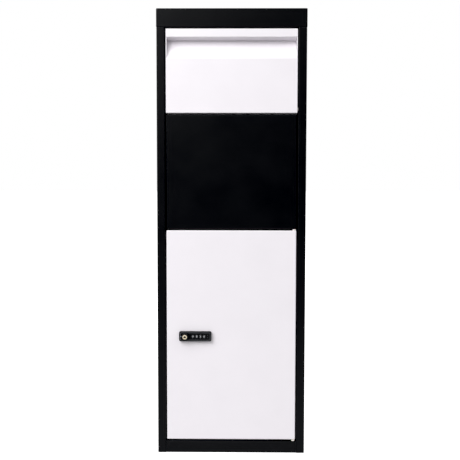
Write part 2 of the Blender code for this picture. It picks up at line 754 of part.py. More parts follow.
def anti_fishing_baffle(material):
    """A sloping strip on the back panel that closes the throat above the open tray's edge."""
    pivot = Vector((PIVOT_Y, PIVOT_Z))
    end = tray_end() - pivot
    swing = end.length + BAFFLE_CLEARANCE
    angle = math.atan2(end.y, end.x) + HOPPER_OPENING
    edge = pivot + Vector((math.cos(angle), math.sin(angle))) * swing
    wall = REAR - SHEET - FIT
    foot_z = edge.y + (wall - edge.x)
    face_line = [(wall, foot_z + BAFFLE_LEG), (wall, foot_z), tuple(edge)]
    half = WIDTH / 2 - REAR_FLANGE - SIDE_GAP
    prism(
        "anti_fishing_baffle", sheet_outline(face_line, -BRACKET_SHEET), "X", -half, half, material
    )


# ---------------------------------------------------------------- door

def door_panel(material):
    """The folded door: front sheet, four returns and an inner lip, drilled for hinges and lock."""
    door = block(
        "door_panel", (-FRONT_HALF, FRONT, DOOR_BOTTOM), (FRONT_HALF, DOOR_REAR, DOOR_TOP),
        material, FOLD_RADIUS,
    )
    hollow = block(
        "door_panel_hollow",
        (-FRONT_HALF + DOOR_SHEET, FRONT + DOOR_SHEET, DOOR_BOTTOM + DOOR_SHEET),
        (FRONT_HALF - DOOR_SHEET, DOOR_REAR - DOOR_SHEET, DOOR_TOP - DOOR_SHEET),
    )
    inset = DOOR_SHEET + DOOR_LIP
    mouth = block(
        "door_panel_mouth",
        (-FRONT_HALF + inset, DOOR_REAR - 2 * DOOR_SHEET, DOOR_BOTTOM + inset),
        (FRONT_HALF - inset, DOOR_REAR + DOOR_SHEET, DOOR_TOP - inset),
    )
    cut(door, hollow, mouth)
    bush_hole = HINGE_PIN_RADIUS + RUNNING + BUSH_WALL + FIT
    for edge in (DOOR_TOP, DOOR_BOTTOM):
        drill(
            door, "Z", (HINGE_X, HINGE_Y), bush_hole, edge - 2 * DOOR_SHEET, edge + 2 * DOOR_SHEET,
        )
    cut_front = FRONT - DOOR_SHEET
    cut_back = FRONT + 2 * DOOR_SHEET
    drill(door, "Y", (KNOB_X, LOCK_Z), BARREL_RADIUS + FIT, cut_front, cut_back, FINE)
    low, high = dial_box(FIT)
    cut(door, block("door_panel_dial_cutout", (low[0], cut_front, low[1]), (high[0], cut_back, high[1])))
    drill(door, "Y", (LOCK_SCREW_X, LOCK_Z), LOCK_SCREW_RADIUS + FIT, cut_front, cut_back)
    turn_about(door, (HINGE_X, HINGE_Y, 0))


def door_stiffener(material):
    """A hat channel up the middle of the door."""
    brim = STIFFENER_WIDTH / 2
    web = brim - STIFFENER_BRIM
    skin = FRONT + DOOR_SHEET + FIT
    face_line = [
        (-brim, skin),
        (-web, skin),
        (-web, skin + STIFFENER_DEPTH),
        (web, skin + STIFFENER_DEPTH),
        (web, skin),
        (brim, skin),
    ]
    ends = (DOOR_BOTTOM + STIFFENER_SHORTFALL, DOOR_TOP - STIFFENER_SHORTFALL)
    channel = prism("door_stiffener", sheet_outline(face_line, DOOR_SHEET), "Z", *ends, material)
    turn_about(channel, (HINGE_X, HINGE_Y, 0))


def door_hinges(steel, nylon):
    """Top and bottom: a flanged bush in the door, a pin, and a plate that holds the pin."""
    axis = (HINGE_X, HINGE_Y)
    bore = HINGE_PIN_RADIUS + RUNNING
    barrel = bore + BUSH_WALL
    for end, edge, up, seat in (
        ("top", DOOR_TOP, 1, COVER_BOTTOM + SHEET),
        ("bottom", DOOR_BOTTOM, -1, BASE_RAIL_HEIGHT - SHEET),
    ):
        flange_near = edge + up * FIT
        flange_far = flange_near + up * BUSH_FLANGE
        bush = turned(
            f"door_bush_{end}", "Z", axis,
            [
                (bore, flange_near - up * BUSH_BARREL),
                (barrel, flange_near - up * BUSH_BARREL),
                (barrel, flange_near),
                (BUSH_FLANGE_RADIUS, flange_near),
                (BUSH_FLANGE_RADIUS, flange_far),
                (bore, flange_far),
            ],
            nylon, COARSE,
        )
        turn_about(bush, (HINGE_X, HINGE_Y, 0))
        plate_near = seat + up * FIT
        plate_far = plate_near + up * HINGE_PLATE
        levels = sorted((plate_near, plate_far))
        plate_right = FRONT_HALF - SHEET - FIT
        plate = block(
            f"hinge_plate_{end}",
            (plate_right - HINGE_PLATE_LENGTH, FRONT + SHEET + FIT, levels[0]),
            (plate_right, RETURN_END, levels[1]),
            steel,
        )
        drill(plate, "Z", axis, HINGE_PIN_RADIUS + FIT, levels[0] - SHEET, levels[1] + SHEET)
        head_near = plate_far + up * FIT
        shank = sorted((edge - up * HINGE_PIN_REACH, head_near))
        head = sorted((head_near, head_near + up * HINGE_HEAD))
        headed_pin(
            f"door_pin_{end}", "Z", axis,
            (HINGE_PIN_RADIUS, *shank), (HINGE_HEAD_RADIUS, *head), steel,
        )


def door_stops(paint, rubber):
    """Two tabs behind the door's free edge, each with a rubber pad that the door shuts against."""
    leg_x = OPENING_HALF + SHEET + FIT
    pad_front = DOOR_REAR + FIT
    pad_back = pad_front + PAD_THICKNESS
    tab_front = pad_back + FIT
    tab_end = FRONT_HALF - DOOR_STOP_REACH + DOOR_SHEET
    pad_x = (tab_end + FRONT_HALF) / 2
    face_line = [
        (leg_x + BRACKET_SHEET, FRONT + 2 * SHEET),
        (leg_x + BRACKET_SHEET, tab_front + BRACKET_SHEET),
        (tab_end, tab_front + BRACKET_SHEET),
    ]
    outline = [(-x, y) for x, y in sheet_outline(face_line, BRACKET_SHEET)]
    for end, z in (("lower", DOOR_BOTTOM + DOOR_STOP_FROM_END), ("upper", DOOR_TOP - DOOR_STOP_FROM_END)):
        half = DOOR_STOP_HEIGHT / 2
        prism(f"door_stop_{end}", outline, "Z", z - half, z + half, paint)
        rod(f"door_pad_{end}", "Y", (-pad_x, z), PAD_RADIUS, pad_front, pad_back, rubber)


# ---------------------------------------------------------------- lock

def dial_x(index):
    return LOCK_LEFT + FIRST_DIAL_FROM_END + index * DIAL_PITCH


def dial_box(clearance):
    """The (x, z) corners of the box behind the lock's face that holds the dials."""
    reach = DIAL_RADIUS + DIAL_CLEARANCE + LOCK_WALL + clearance
    ends = DIAL_WIDTH / 2 + DIAL_CLEARANCE + LOCK_WALL + clearance
    return (dial_x(0) - ends, LOCK_Z - reach), (dial_x(DIAL_COUNT - 1) + ends, LOCK_Z + reach)


def rounded_plate(name, low, high, front, back, corner, material=None):
    """A plate facing -Y with round corners; low and high are (x, z)."""
    outline = []
    quarter = math.pi / 2
    centres = (
        (high[0] - corner, high[1] - corner),
        (low[0] + corner, high[1] - corner),
        (low[0] + corner, low[1] + corner),
        (high[0] - corner, low[1] + corner),
    )
    for i, centre in enumerate(centres):
        outline += arc(centre, corner, i * quarter, (i + 1) * quarter, CORNER_STEPS)
    return prism(name, outline, "Y", front, back, material)


def lock_housing(material):
    """The lock's case: a rounded face block, a box for the dials and a barrel for the spindle."""
    low = (LOCK_LEFT, LOCK_Z - LOCK_HEIGHT / 2)
    high = (LOCK_LEFT + LOCK_WIDTH, LOCK_Z + LOCK_HEIGHT / 2)
    housing = rounded_plate("lock_housing", low, high, LOCK_FACE, LOCK_BACK, LOCK_CORNER, material)
    bevel = housing.modifiers.new("softened_edges", "BEVEL")
    bevel.width = LOCK_BEVEL
    bevel.segments = 2
    bevel.limit_method = "ANGLE"
    bevel.angle_limit = math.radians(60)
    drill(
        housing, "Y", (KNOB_X, LOCK_Z), KNOB_RADIUS + FIT,
        LOCK_FACE - SHEET, LOCK_FACE + KNOB_RECESS, FINE,
    )
    barrel = rod(
        "lock_housing_barrel", "Y", (KNOB_X, LOCK_Z), BARREL_RADIUS,
        LOCK_FACE + LOCK_THICKNESS / 2, LOCK_BACK + BARREL_LENGTH, None, FINE,
    )
    box_low, box_high = dial_box(0)
    box_back = DIAL_Y + DIAL_RADIUS + DIAL_CLEARANCE + LOCK_WALL
    box = block(
        "lock_housing_box",
        (box_low[0], LOCK_FACE + LOCK_THICKNESS / 2, box_low[1]),
        (box_high[0], box_back, box_high[1]),
    )
    join(housing, barrel, box)
    cavity = block(
        "lock_housing_cavity",
        (box_low[0] + LOCK_WALL, LOCK_FACE + LOCK_WALL, box_low[1] + LOCK_WALL),
        (box_high[0] - LOCK_WALL, box_back - LOCK_WALL, box_high[1] - LOCK_WALL),
    )
    cut(housing, cavity)
    # Each window lets its dial's edge through the face.
    depth = DIAL_RADIUS - DIAL_PROUD - LOCK_WALL
    window_half = math.sqrt(DIAL_RADIUS**2 - depth**2) + FIT
    for i in range(DIAL_COUNT):
        half = DIAL_WIDTH / 2 + FIT
        window = block(
            f"lock_housing_window_{i + 1}",
            (dial_x(i) - half, LOCK_FACE - SHEET, LOCK_Z - window_half),
            (dial_x(i) + half, LOCK_FACE + 2 * LOCK_WALL, LOCK_Z + window_half),
        )
        cut(housing, window)
    axle_ends = axle_span()
    cut(housing, prism(
        "lock_housing_axle_bore", circle((DIAL_Y, LOCK_Z), AXLE_RADIUS + FIT), "X",
        axle_ends[0] - FIT, axle_ends[1] + FIT,
    ))
    drill(
        housing, "Y", (KNOB_X, LOCK_Z), SPINDLE_RADIUS + RUNNING,
        LOCK_FACE - SHEET, LOCK_BACK + BARREL_LENGTH + SHEET, FINE,
    )
    drill(
        housing, "Y", (LOCK_SCREW_X, LOCK_Z), LOCK_SCREW_RADIUS + FIT,
        LOCK_BACK - LOCK_THICKNESS / 2 - FIT, LOCK_BACK + SHEET,
    )
    turn_about(housing, (HINGE_X, HINGE_Y, 0))


def axle_span():
    low, high = dial_box(0)
    return low[0] + LOCK_WALL / 3, high[0] - LOCK_WALL / 3


def lock_gasket(material):
    """A thin rubber seal between the lock and the door's face."""
    low = (LOCK_LEFT + LOCK_BEVEL, LOCK_Z - LOCK_HEIGHT / 2 + LOCK_BEVEL)
    high = (LOCK_LEFT + LOCK_WIDTH - LOCK_BEVEL, LOCK_Z + LOCK_HEIGHT / 2 - LOCK_BEVEL)
    front = FRONT - FIT - GASKET
    gasket = rounded_plate("lock_gasket", low, high, front, FRONT - FIT, LOCK_CORNER, material)
    cut_front = front - GASKET
    drill(gasket, "Y", (KNOB_X, LOCK_Z), BARREL_RADIUS + FIT, cut_front, FRONT, FINE)
    box_low, box_high = dial_box(FIT)
    cut(gasket, block(
        "lock_gasket_cutout", (box_low[0], cut_front, box_low[1]), (box_high[0], FRONT, box_high[1])
    ))
    drill(gasket, "Y", (LOCK_SCREW_X, LOCK_Z), LOCK_SCREW_RADIUS + FIT, cut_front, FRONT)
    turn_about(gasket, (HINGE_X, HINGE_Y, 0))


def lock_fixings(steel):
    """The nut on the lock's barrel and the screw at its other end, both inside the door."""
    inside = FRONT + DOOR_SHEET + FIT
    nut = prism(
        "lock_nut", circle((KNOB_X, LOCK_Z), NUT_RADIUS, 6), "Y", inside, inside + NUT_THICKNESS, steel
    )
    drill(
        nut, "Y", (KNOB_X, LOCK_Z), BARREL_RADIUS + FIT, inside - SHEET, inside + NUT_THICKNESS + SHEET,
        FINE,
    )
    screw_piece = headed_pin(
        "lock_screw", "Y", (LOCK_SCREW_X, LOCK_Z),
        (LOCK_SCREW_RADIUS, LOCK_BACK - LOCK_THICKNESS / 2, inside),
        (LOCK_SCREW_HEAD_RADIUS, inside, inside + LOCK_SCREW_HEAD),
        steel,
    )
    for piece in (nut, screw_piece):
        turn_about(piece, (HINGE_X, HINGE_Y, 0))


def number_dials(plastic, steel):
    """Four wheels, each with a shallow finger groove between its ten places, on one axle."""
    for i in range(DIAL_COUNT):
        low = dial_x(i) - DIAL_WIDTH / 2
        high = dial_x(i) + DIAL_WIDTH / 2
        bore = circle((DIAL_Y, LOCK_Z), AXLE_RADIUS + RUNNING)
        rim = []
        for place in range(DIAL_DIGITS):
            middle = 2 * math.pi * place / DIAL_DIGITS
            half_step = math.pi / DIAL_DIGITS
            groove = half_step / 5
            reach = half_step - groove
            rim += arc((DIAL_Y, LOCK_Z), DIAL_RADIUS, middle - reach, middle + reach, DIAL_PLACE_STEPS)
            dip = middle + half_step
            rim += arc((DIAL_Y, LOCK_Z), DIAL_RADIUS - DIAL_GROOVE, dip, dip, 1)[:1]
        dial = prism(f"number_dial_{i + 1}", rim, "X", low, high, plastic)
        cut(dial, prism(f"number_dial_{i + 1}_bore", bore, "X", low - SHEET, high + SHEET))
        turn_about(dial, (0, DIAL_Y, LOCK_Z))
    axle = rod("dial_axle", "X", (DIAL_Y, LOCK_Z), AXLE_RADIUS, *axle_span(), steel)
    turn_about(axle, (HINGE_X, HINGE_Y, 0))


def lock_knob(material):
    """The round knob, hollow at its front for the key cylinder and socketed on the spindle."""
    back = LOCK_FACE + KNOB_RECESS - FIT
    front = back - KNOB_LENGTH
    key_floor = front + KEY_LENGTH + 2 * FIT
    knob = turned(
        "lock_knob", "Y", (KNOB_X, LOCK_Z),
        [
            (KEY_RADIUS + RUNNING, front),
            (KNOB_RADIUS - KNOB_CHAMFER, front),
            (KNOB_RADIUS, front + KNOB_CHAMFER),
            (KNOB_RADIUS, back),
            (SPINDLE_RADIUS + FIT, back),
            (SPINDLE_RADIUS + FIT, key_floor),
            (KEY_RADIUS + RUNNING, key_floor),
        ],
        material, FINE,
    )
    turn_about(knob, (KNOB_X, LOCK_FACE, LOCK_Z))


def key_cylinder(material):
    """The key cylinder in the knob's face, with its keyhole."""
    front = LOCK_FACE + KNOB_RECESS - FIT - KNOB_LENGTH
    back = front + KEY_LENGTH
    cylinder = turned(
        "key_cylinder", "Y", (KNOB_X, LOCK_Z),
        [
            (0, front), (KEY_RADIUS - KEY_EDGE, front), (KEY_RADIUS, front + KEY_EDGE),
            (KEY_RADIUS, back), (0, back),
        ],
        material, FINE,
    )
    foot = LOCK_Z - KEYHOLE_DROP
    right_side = [
        (KNOB_X + KEYHOLE_BASE, foot),
        (KNOB_X + KEYHOLE_BASE, foot + KEYHOLE_STEP),
        (KNOB_X + KEYHOLE_TOP, LOCK_Z + KEYHOLE_RISE),
    ]
    outline = right_side + [(2 * KNOB_X - x, z) for x, z in right_side[::-1]]
    cut(cylinder, prism("key_cylinder_keyhole", outline, "Y", front - SHEET, front + KEYHOLE_DEPTH))
    turn_about(cylinder, (KNOB_X, LOCK_FACE, LOCK_Z))


def lock_spindle(material):
    """The spindle from the knob to the cam, drilled at its end for the cam's screw."""
    front = LOCK_FACE + KNOB_RECESS - FIT - KNOB_LENGTH + KEY_LENGTH + 3 * FIT
    back = CAM_FRONT + CAM_THICKNESS
    bore = CAM_SCREW_RADIUS + FIT
    floor = back - CAM_SCREW_REACH - FIT
    spindle = turned(
        "lock_spindle", "Y", (KNOB_X, LOCK_Z),
        [
            (0, front), (SPINDLE_RADIUS, front), (SPINDLE_RADIUS, back),
            (bore, back), (bore, floor), (0, floor),
        ],
        material, FINE,
    )
    turn_about(spindle, (KNOB_X, LOCK_FACE, LOCK_Z))


def lock_cam(steel):
    """The flat cam: it hangs down when the lock is open and turns behind the stile to lock."""
    reach = KNOB_X + OPENING_HALF + SHEET + CAM_OVERLAP
    outline = arc((KNOB_X, LOCK_Z), CAM_HEAD_RADIUS, 0, math.pi, ROUND_END_STEPS)
    outline += arc(
        (KNOB_X, LOCK_Z - reach + CAM_TIP_RADIUS), CAM_TIP_RADIUS, math.pi, 2 * math.pi, ROUND_END_STEPS,
    )
    cam = prism("lock_cam", outline, "Y", CAM_FRONT, CAM_FRONT + CAM_THICKNESS, steel)
    drill(
        cam, "Y", (KNOB_X, LOCK_Z), SPINDLE_RADIUS + FIT, CAM_FRONT - SHEET,
        CAM_FRONT + CAM_THICKNESS + SHEET,
    )
    turn_about(cam, (KNOB_X, LOCK_FACE, LOCK_Z))
    head_start = CAM_FRONT + CAM_THICKNESS + FIT
    screw_piece = headed_pin(
        "cam_screw", "Y", (KNOB_X, LOCK_Z),
        (CAM_SCREW_RADIUS, CAM_FRONT + CAM_THICKNESS - CAM_SCREW_REACH, head_start),
        (CAM_SCREW_HEAD_RADIUS, head_start, head_start + CAM_SCREW_HEAD),
        steel,
    )
    turn_about(screw_piece, (KNOB_X, LOCK_FACE, LOCK_Z))


def strike_plate(material):
    """The angle in the left stile that the cam turns behind."""
    leg_x = OPENING_HALF + SHEET + FIT
    back = CAM_FRONT - 2 * FIT
    face_line = [
        (leg_x, FRONT + 2 * SHEET),
        (leg_x, back),
        (leg_x + STRIKE_WIDTH, back),
    ]
    outline = [(-x, y) for x, y in sheet_outline(face_line, -BRACKET_SHEET)]
    half = STRIKE_HEIGHT / 2
    prism("strike_plate", outline, "Z", LOCK_Z - half, LOCK_Z + half, material)


# ---------------------------------------------------------------- the whole locker

def build():
    clear_scene()
    black_paint = finish_material("black_powder_coat", (0.008, 0.008, 0.010), 0.5)
    white_paint = finish_material("white_powder_coat", (0.87, 0.86, 0.88), 0.45)
    zinc = finish_material("zinc_plated_steel", (0.55, 0.56, 0.58), 0.35, 1.0)
    nylon = finish_material("white_nylon", (0.8, 0.8, 0.78), 0.5)
    rubber = finish_material("black_rubber", (0.02, 0.02, 0.02), 0.8)
    lock_black = finish_material("black_die_cast", (0.01, 0.01, 0.012), 0.4)
    dial_black = finish_material("black_dial_plastic", (0.015, 0.015, 0.017), 0.35)
    brass = finish_material("brass_key_cylinder", (0.75, 0.62, 0.36), 0.3, 1.0)

    for side, side_name in ((-1, "left"), (1, "right")):
        side_panel(f"side_panel_{side_name}", side, black_paint)
        hopper_cheek(f"hopper_cheek_{side_name}", side, white_paint)
    back_panel(black_paint)
    floor_pan(black_paint)
    top_cap(black_paint)
    cap_screws(zinc)
    chute_cover(black_paint)
    cover_screws(zinc)
    anti_fishing_baffle(black_paint)

    hopper_front(white_paint)
    hopper_tray(white_paint)
    hopper_pivots(zinc, nylon)
    hopper_stops(zinc, rubber, black_paint)

    door_panel(white_paint)
    door_stiffener(white_paint)
    door_hinges(zinc, nylon)
    door_stops(black_paint, rubber)
    strike_plate(black_paint)

    lock_housing(lock_black)
    lock_gasket(rubber)
    lock_fixings(zinc)
    number_dials(dial_black, zinc)
    lock_knob(lock_black)
    key_cylinder(brass)
    lock_spindle(zinc)
    lock_cam(zinc)


build()
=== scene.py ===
"""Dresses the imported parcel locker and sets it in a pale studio.

Run it as a script in Blender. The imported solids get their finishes, the lock gets its printed and cast
details, the sheets get their weld marks and plugs, and the stage gets a floor, soft lights and a camera.
Sizes and colours are the scene's properties, and each piece has its own operator.
"""

import json
import math

import bmesh
import bpy
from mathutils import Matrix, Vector

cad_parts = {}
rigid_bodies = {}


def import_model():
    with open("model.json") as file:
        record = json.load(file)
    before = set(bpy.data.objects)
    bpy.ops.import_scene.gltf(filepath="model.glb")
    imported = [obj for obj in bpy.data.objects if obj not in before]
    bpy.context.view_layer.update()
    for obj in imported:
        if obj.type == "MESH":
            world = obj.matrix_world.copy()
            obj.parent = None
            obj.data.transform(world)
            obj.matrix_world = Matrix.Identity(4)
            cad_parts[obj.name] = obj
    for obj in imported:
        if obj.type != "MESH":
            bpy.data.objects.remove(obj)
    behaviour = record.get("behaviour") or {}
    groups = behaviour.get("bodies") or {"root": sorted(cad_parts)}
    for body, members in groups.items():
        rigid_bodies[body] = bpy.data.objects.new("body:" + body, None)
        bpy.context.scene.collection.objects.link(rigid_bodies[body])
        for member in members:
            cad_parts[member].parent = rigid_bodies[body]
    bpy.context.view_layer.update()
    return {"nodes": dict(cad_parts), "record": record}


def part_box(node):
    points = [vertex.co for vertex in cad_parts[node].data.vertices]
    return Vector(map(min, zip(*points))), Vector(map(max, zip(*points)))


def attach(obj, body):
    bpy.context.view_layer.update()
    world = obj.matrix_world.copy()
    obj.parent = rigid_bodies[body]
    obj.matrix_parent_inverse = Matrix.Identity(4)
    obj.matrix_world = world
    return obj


for leftover in list(bpy.data.objects):
    bpy.data.objects.remove(leftover)
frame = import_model()

bl_info = {
    "name": "Parcel locker finishes",
    "version": (1, 0, 0),
    "blender": (4, 5, 0),
    "location": "3D View > Sidebar > Locker",
    "description": "Finishes, lock details and a studio for the packed parcel locker",
    "category": "Object",
}

MM = 0.001

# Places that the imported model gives
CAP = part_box("top_cap")
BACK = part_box("back_panel")
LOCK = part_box("lock_housing")
LOCK_MIDDLE_X = (LOCK[0][0] + LOCK[1][0]) / 2
LOCK_MIDDLE_Z = (LOCK[0][2] + LOCK[1][2]) / 2
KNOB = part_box("lock_knob")
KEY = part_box("key_cylinder")
JOINTS = {joint["name"]: Vector(joint["pos_m"]) for joint in frame["record"]["behaviour"]["joints"]}
DIAL_COUNT = 4
DIAL_WIDTH = 5.2 * MM
SHOWN_NUMBERS = (0, 2, 3, 0)  # what the dials show at rest
PLACES_ON_DIAL = 10

# The holes that the plugs close, as the part's source has them
WALL_HOLE_X = 120 * MM
WALL_HOLE_END = 200 * MM  # from the floor and from the top
WALL_PLUG_RADIUS = 4.3 * MM
ANCHOR_HOLE_X = 130 * MM
ANCHOR_HOLE_Y = 110 * MM
ANCHOR_PLUG_RADIUS = 5.3 * MM
PLUG_DEPTH = 1.2 * MM
SHEET = 1.5 * MM  # the back's and the floor pan's thickness

# How far an added piece reaches into the surface that it stands on
PRINT_SINK = 0.05 * MM
CAST_SINK = 0.1 * MM
HOOD_SINK = 0.04 * MM

# Real sizes that the patterns' scales are worked out from
SPRAY_PATCH = 70 * MM  # thicker and thinner patches in a sprayed coat
THIN_AND_LIT_STRETCH = 9 * MM  # lengths of edge that are painted lighter: a thinner coat and a painted highlight
DUST_PATCH = 14 * MM
SHEET_WAVE = 190 * MM  # a hand's width, over which folded sheet is out of flat
PEEL_HEIGHT = 0.05 * MM  # of a powder coat's orange peel
EDGE_WEAR_AND_HIGHLIGHT_RADIUS = 1.1 * MM  # edges sharper than this are painted lighter: partly abrasion, partly a painted highlight
ZINC_CRYSTAL = 2.2 * MM
ZINC_SCRATCH = 0.8 * MM
BRASS_SPOT = 3 * MM
BRASS_RING = 0.45 * MM  # real tool marks are 0.1 mm apart; drawn this far apart so that they show
KEYWAY_REACH = 5.2 * MM  # from the key cylinder's axis
HANDLED_PATCH = 12 * MM
# Lengths and radius of the lock's paler edges, partly abrasion and partly a painted highlight
RUBBED_AND_LIT_STRETCH = 2.5 * MM
RUBBED_AND_LIT_EDGE = 0.5 * MM
WELD_DEPTH = 0.25 * MM
ACRYLIC_PATCH = 600 * MM

WHITE = (1.0, 1.0, 1.0, 1.0)

# A wave texture's own units: one wave takes this length at scale 1.
WAVE_LENGTH = 2 * math.pi / 20


# ---------------------------------------------------------------- colours and nodes

def from_hex(text):
    """A linear colour with alpha from an sRGB hex value."""
    linear = []
    for start in (1, 3, 5):
        share = int(text[start:start + 2], 16) / 255
        linear.append(share / 12.92 if share <= 0.04045 else ((share + 0.055) / 1.055) ** 2.4)
    return (*linear, 1.0)


def add(tree, kind, output, values=None, links=None, **settings):
    """Adds a node with its settings, its sockets' own values and the outputs that feed its sockets.

    It gives back the node's named or numbered output, or the node itself when output is None. A colour mix
    takes its two colours at sockets 6 and 7, and gives the mixed one at output 2.
    """
    node = tree.nodes.new(kind)
    for name, setting in settings.items():
        setattr(node, name, setting)
    for socket, value in (values or {}).items():
        node.inputs[socket].default_value = value
    for socket, source in (links or {}).items():
        tree.links.new(source, node.inputs[socket])
    return node if output is None else node.outputs[output]


def between(low, high, result_low=0.0, result_high=1.0):
    """A map range node's values: low..high is taken to result_low..result_high."""
    return {"From Min": low, "From Max": high, "To Min": result_low, "To Max": result_high}


def patches(size, detail):
    """A noise texture's values: patches about size across, with finer ones in them."""
    return {"Scale": 1 / size, "Detail": detail}


def new_material(name, **values):
    """A material, its node tree and its shader, with the shader's uniform values set."""
    material = bpy.data.materials.new(name)
    material.use_nodes = True
    shader = material.node_tree.nodes["Principled BSDF"]
    for socket, value in values.items():
        shader.inputs[socket.replace("_", " ")].default_value = value
    return material, material.node_tree, shader


def times(colour, share):
    """The colour made darker or lighter, its alpha kept."""
    return (*(min(1.0, channel * share) for channel in colour[:3]), 1.0)


def sharp_edges(tree, radius):
    """1 on edges sharper than the radius, 0 on flats."""
    rounded = add(tree, "ShaderNodeBevel", "Normal", {"Radius": radius}, samples=4)
    normal = add(tree, "ShaderNodeNewGeometry", "Normal")
    agree = add(
        tree, "ShaderNodeVectorMath", "Value", links={0: rounded, 1: normal}, operation="DOT_PRODUCT"
    )
    return add(tree, "ShaderNodeMapRange", "Result", between(0.995, 0.85), {"Value": agree})


def relief(tree, shader, layers, edge_radius):
    """Gives the shader its height layers, each (output, height), over edges rounded by edge_radius."""
    normal = add(tree, "ShaderNodeBevel", "Normal", {"Radius": edge_radius}, samples=4)
    for height, distance in layers:
        normal = add(
            tree, "ShaderNodeBump", "Normal", {"Strength": 1.0, "Distance": distance},
            {"Height": height, "Normal": normal},
        )
    tree.links.new(normal, shader.inputs["Normal"])


# ---------------------------------------------------------------- materials

def powder_coat(name, colour, roughness, specular, grain, edge_wear_and_highlight_colour, dust_colour, wave):
    """Polyester powder coat, sprayed on sheet steel and baked.

    It gives a satin sheen with fine orange peel, sheets out of flat by up to the wave, a lighter colour
    along folded and cut edges, partly a thinner coat and partly a painted highlight, and a little dust
    where a surface faces up.
    """
    material, tree, shader = new_material(name, Roughness=roughness, Specular_IOR_Level=specular)
    place = add(tree, "ShaderNodeTexCoord", "Object")
    mottle = add(tree, "ShaderNodeTexNoise", "Fac", patches(SPRAY_PATCH, 3.0), {"Vector": place})
    share = add(tree, "ShaderNodeMapRange", "Result", between(0.3, 0.7), {"Value": mottle})
    body = add(
        tree, "ShaderNodeMix", 2, {6: times(colour, 0.99), 7: times(colour, 1.01)}, {"Factor": share},
        data_type="RGBA",
    )
    # Painted highlight: edges sharper than the radius get a lighter colour, partly as a thinner coat and
    # partly for the light they catch.
    stretch = add(tree, "ShaderNodeTexNoise", "Fac", patches(THIN_AND_LIT_STRETCH, 4.0), {"Vector": place})
    thin_and_lit = add(tree, "ShaderNodeMapRange", "Result", between(0.35, 0.6, 0.2, 1.0), {"Value": stretch})
    edges = sharp_edges(tree, EDGE_WEAR_AND_HIGHLIGHT_RADIUS)
    edge_wear_and_highlight = add(tree, "ShaderNodeMath", 0, links={0: edges, 1: thin_and_lit}, operation="MULTIPLY")
    body = add(
        tree, "ShaderNodeMix", 2, {7: edge_wear_and_highlight_colour}, {"Factor": edge_wear_and_highlight, 6: body}, data_type="RGBA"
    )
    normal = add(tree, "ShaderNodeNewGeometry", "Normal")
    upward = add(tree, "ShaderNodeSeparateXYZ", "Z", links={"Vector": normal})
    facing_up = add(tree, "ShaderNodeMapRange", "Result", between(0.75, 1.0), {"Value": upward})
    settled = add(tree, "ShaderNodeTexNoise", "Fac", patches(DUST_PATCH, 5.0), {"Vector": place})
    film = add(tree, "ShaderNodeMapRange", "Result", between(0.3, 0.7, 0.015, 0.04), {"Value": settled})
    dust = add(tree, "ShaderNodeMath", 0, links={0: facing_up, 1: film}, operation="MULTIPLY")
    body = add(
        tree, "ShaderNodeMix", 2, {7: dust_colour}, {"Factor": dust, 6: body}, data_type="RGBA"
    )
    tree.links.new(body, shader.inputs["Base Color"])
    sheen = between(0.25, 0.75, roughness - 0.04, roughness + 0.05)
    sheen = add(tree, "ShaderNodeMapRange", "Result", sheen, {"Value": mottle})
    tree.links.new(sheen, shader.inputs["Roughness"])
    peel = add(tree, "ShaderNodeTexNoise", "Fac", patches(grain, 2.0), {"Vector": place})
    flatness = add(tree, "ShaderNodeTexNoise", "Fac", patches(SHEET_WAVE, 1.0), {"Vector": place})
    relief(tree, shader, [(flatness, wave), (peel, PEEL_HEIGHT)], 0.4 * MM)
    return material


def zinc_plate(name, colour):
    """Zinc plating on turned and pressed steel: a cool shine, faintly mottled, with fine scratches."""
    material, tree, shader = new_material(name, Metallic=1.0)
    place = add(tree, "ShaderNodeTexCoord", "Object")
    crystals = {"Scale": 1 / ZINC_CRYSTAL, "Randomness": 1.0}
    crystal = add(tree, "ShaderNodeTexVoronoi", "Distance", crystals, {"Vector": place})
    share = add(tree, "ShaderNodeMapRange", "Result", between(0.1, 0.8), {"Value": crystal})
    mottled = add(
        tree, "ShaderNodeMix", 2, {6: times(colour, 0.88), 7: times(colour, 1.05)}, {"Factor": share},
        data_type="RGBA",
    )
    tree.links.new(mottled, shader.inputs["Base Color"])
    scratch = add(tree, "ShaderNodeTexNoise", "Fac", patches(ZINC_SCRATCH, 3.0), {"Vector": place})
    dulled = add(tree, "ShaderNodeMapRange", "Result", between(0.3, 0.7, 0.24, 0.4), {"Value": scratch})
    tree.links.new(dulled, shader.inputs["Roughness"])
    relief(tree, shader, [(scratch, 0.01 * MM)], 0.2 * MM)
    return material


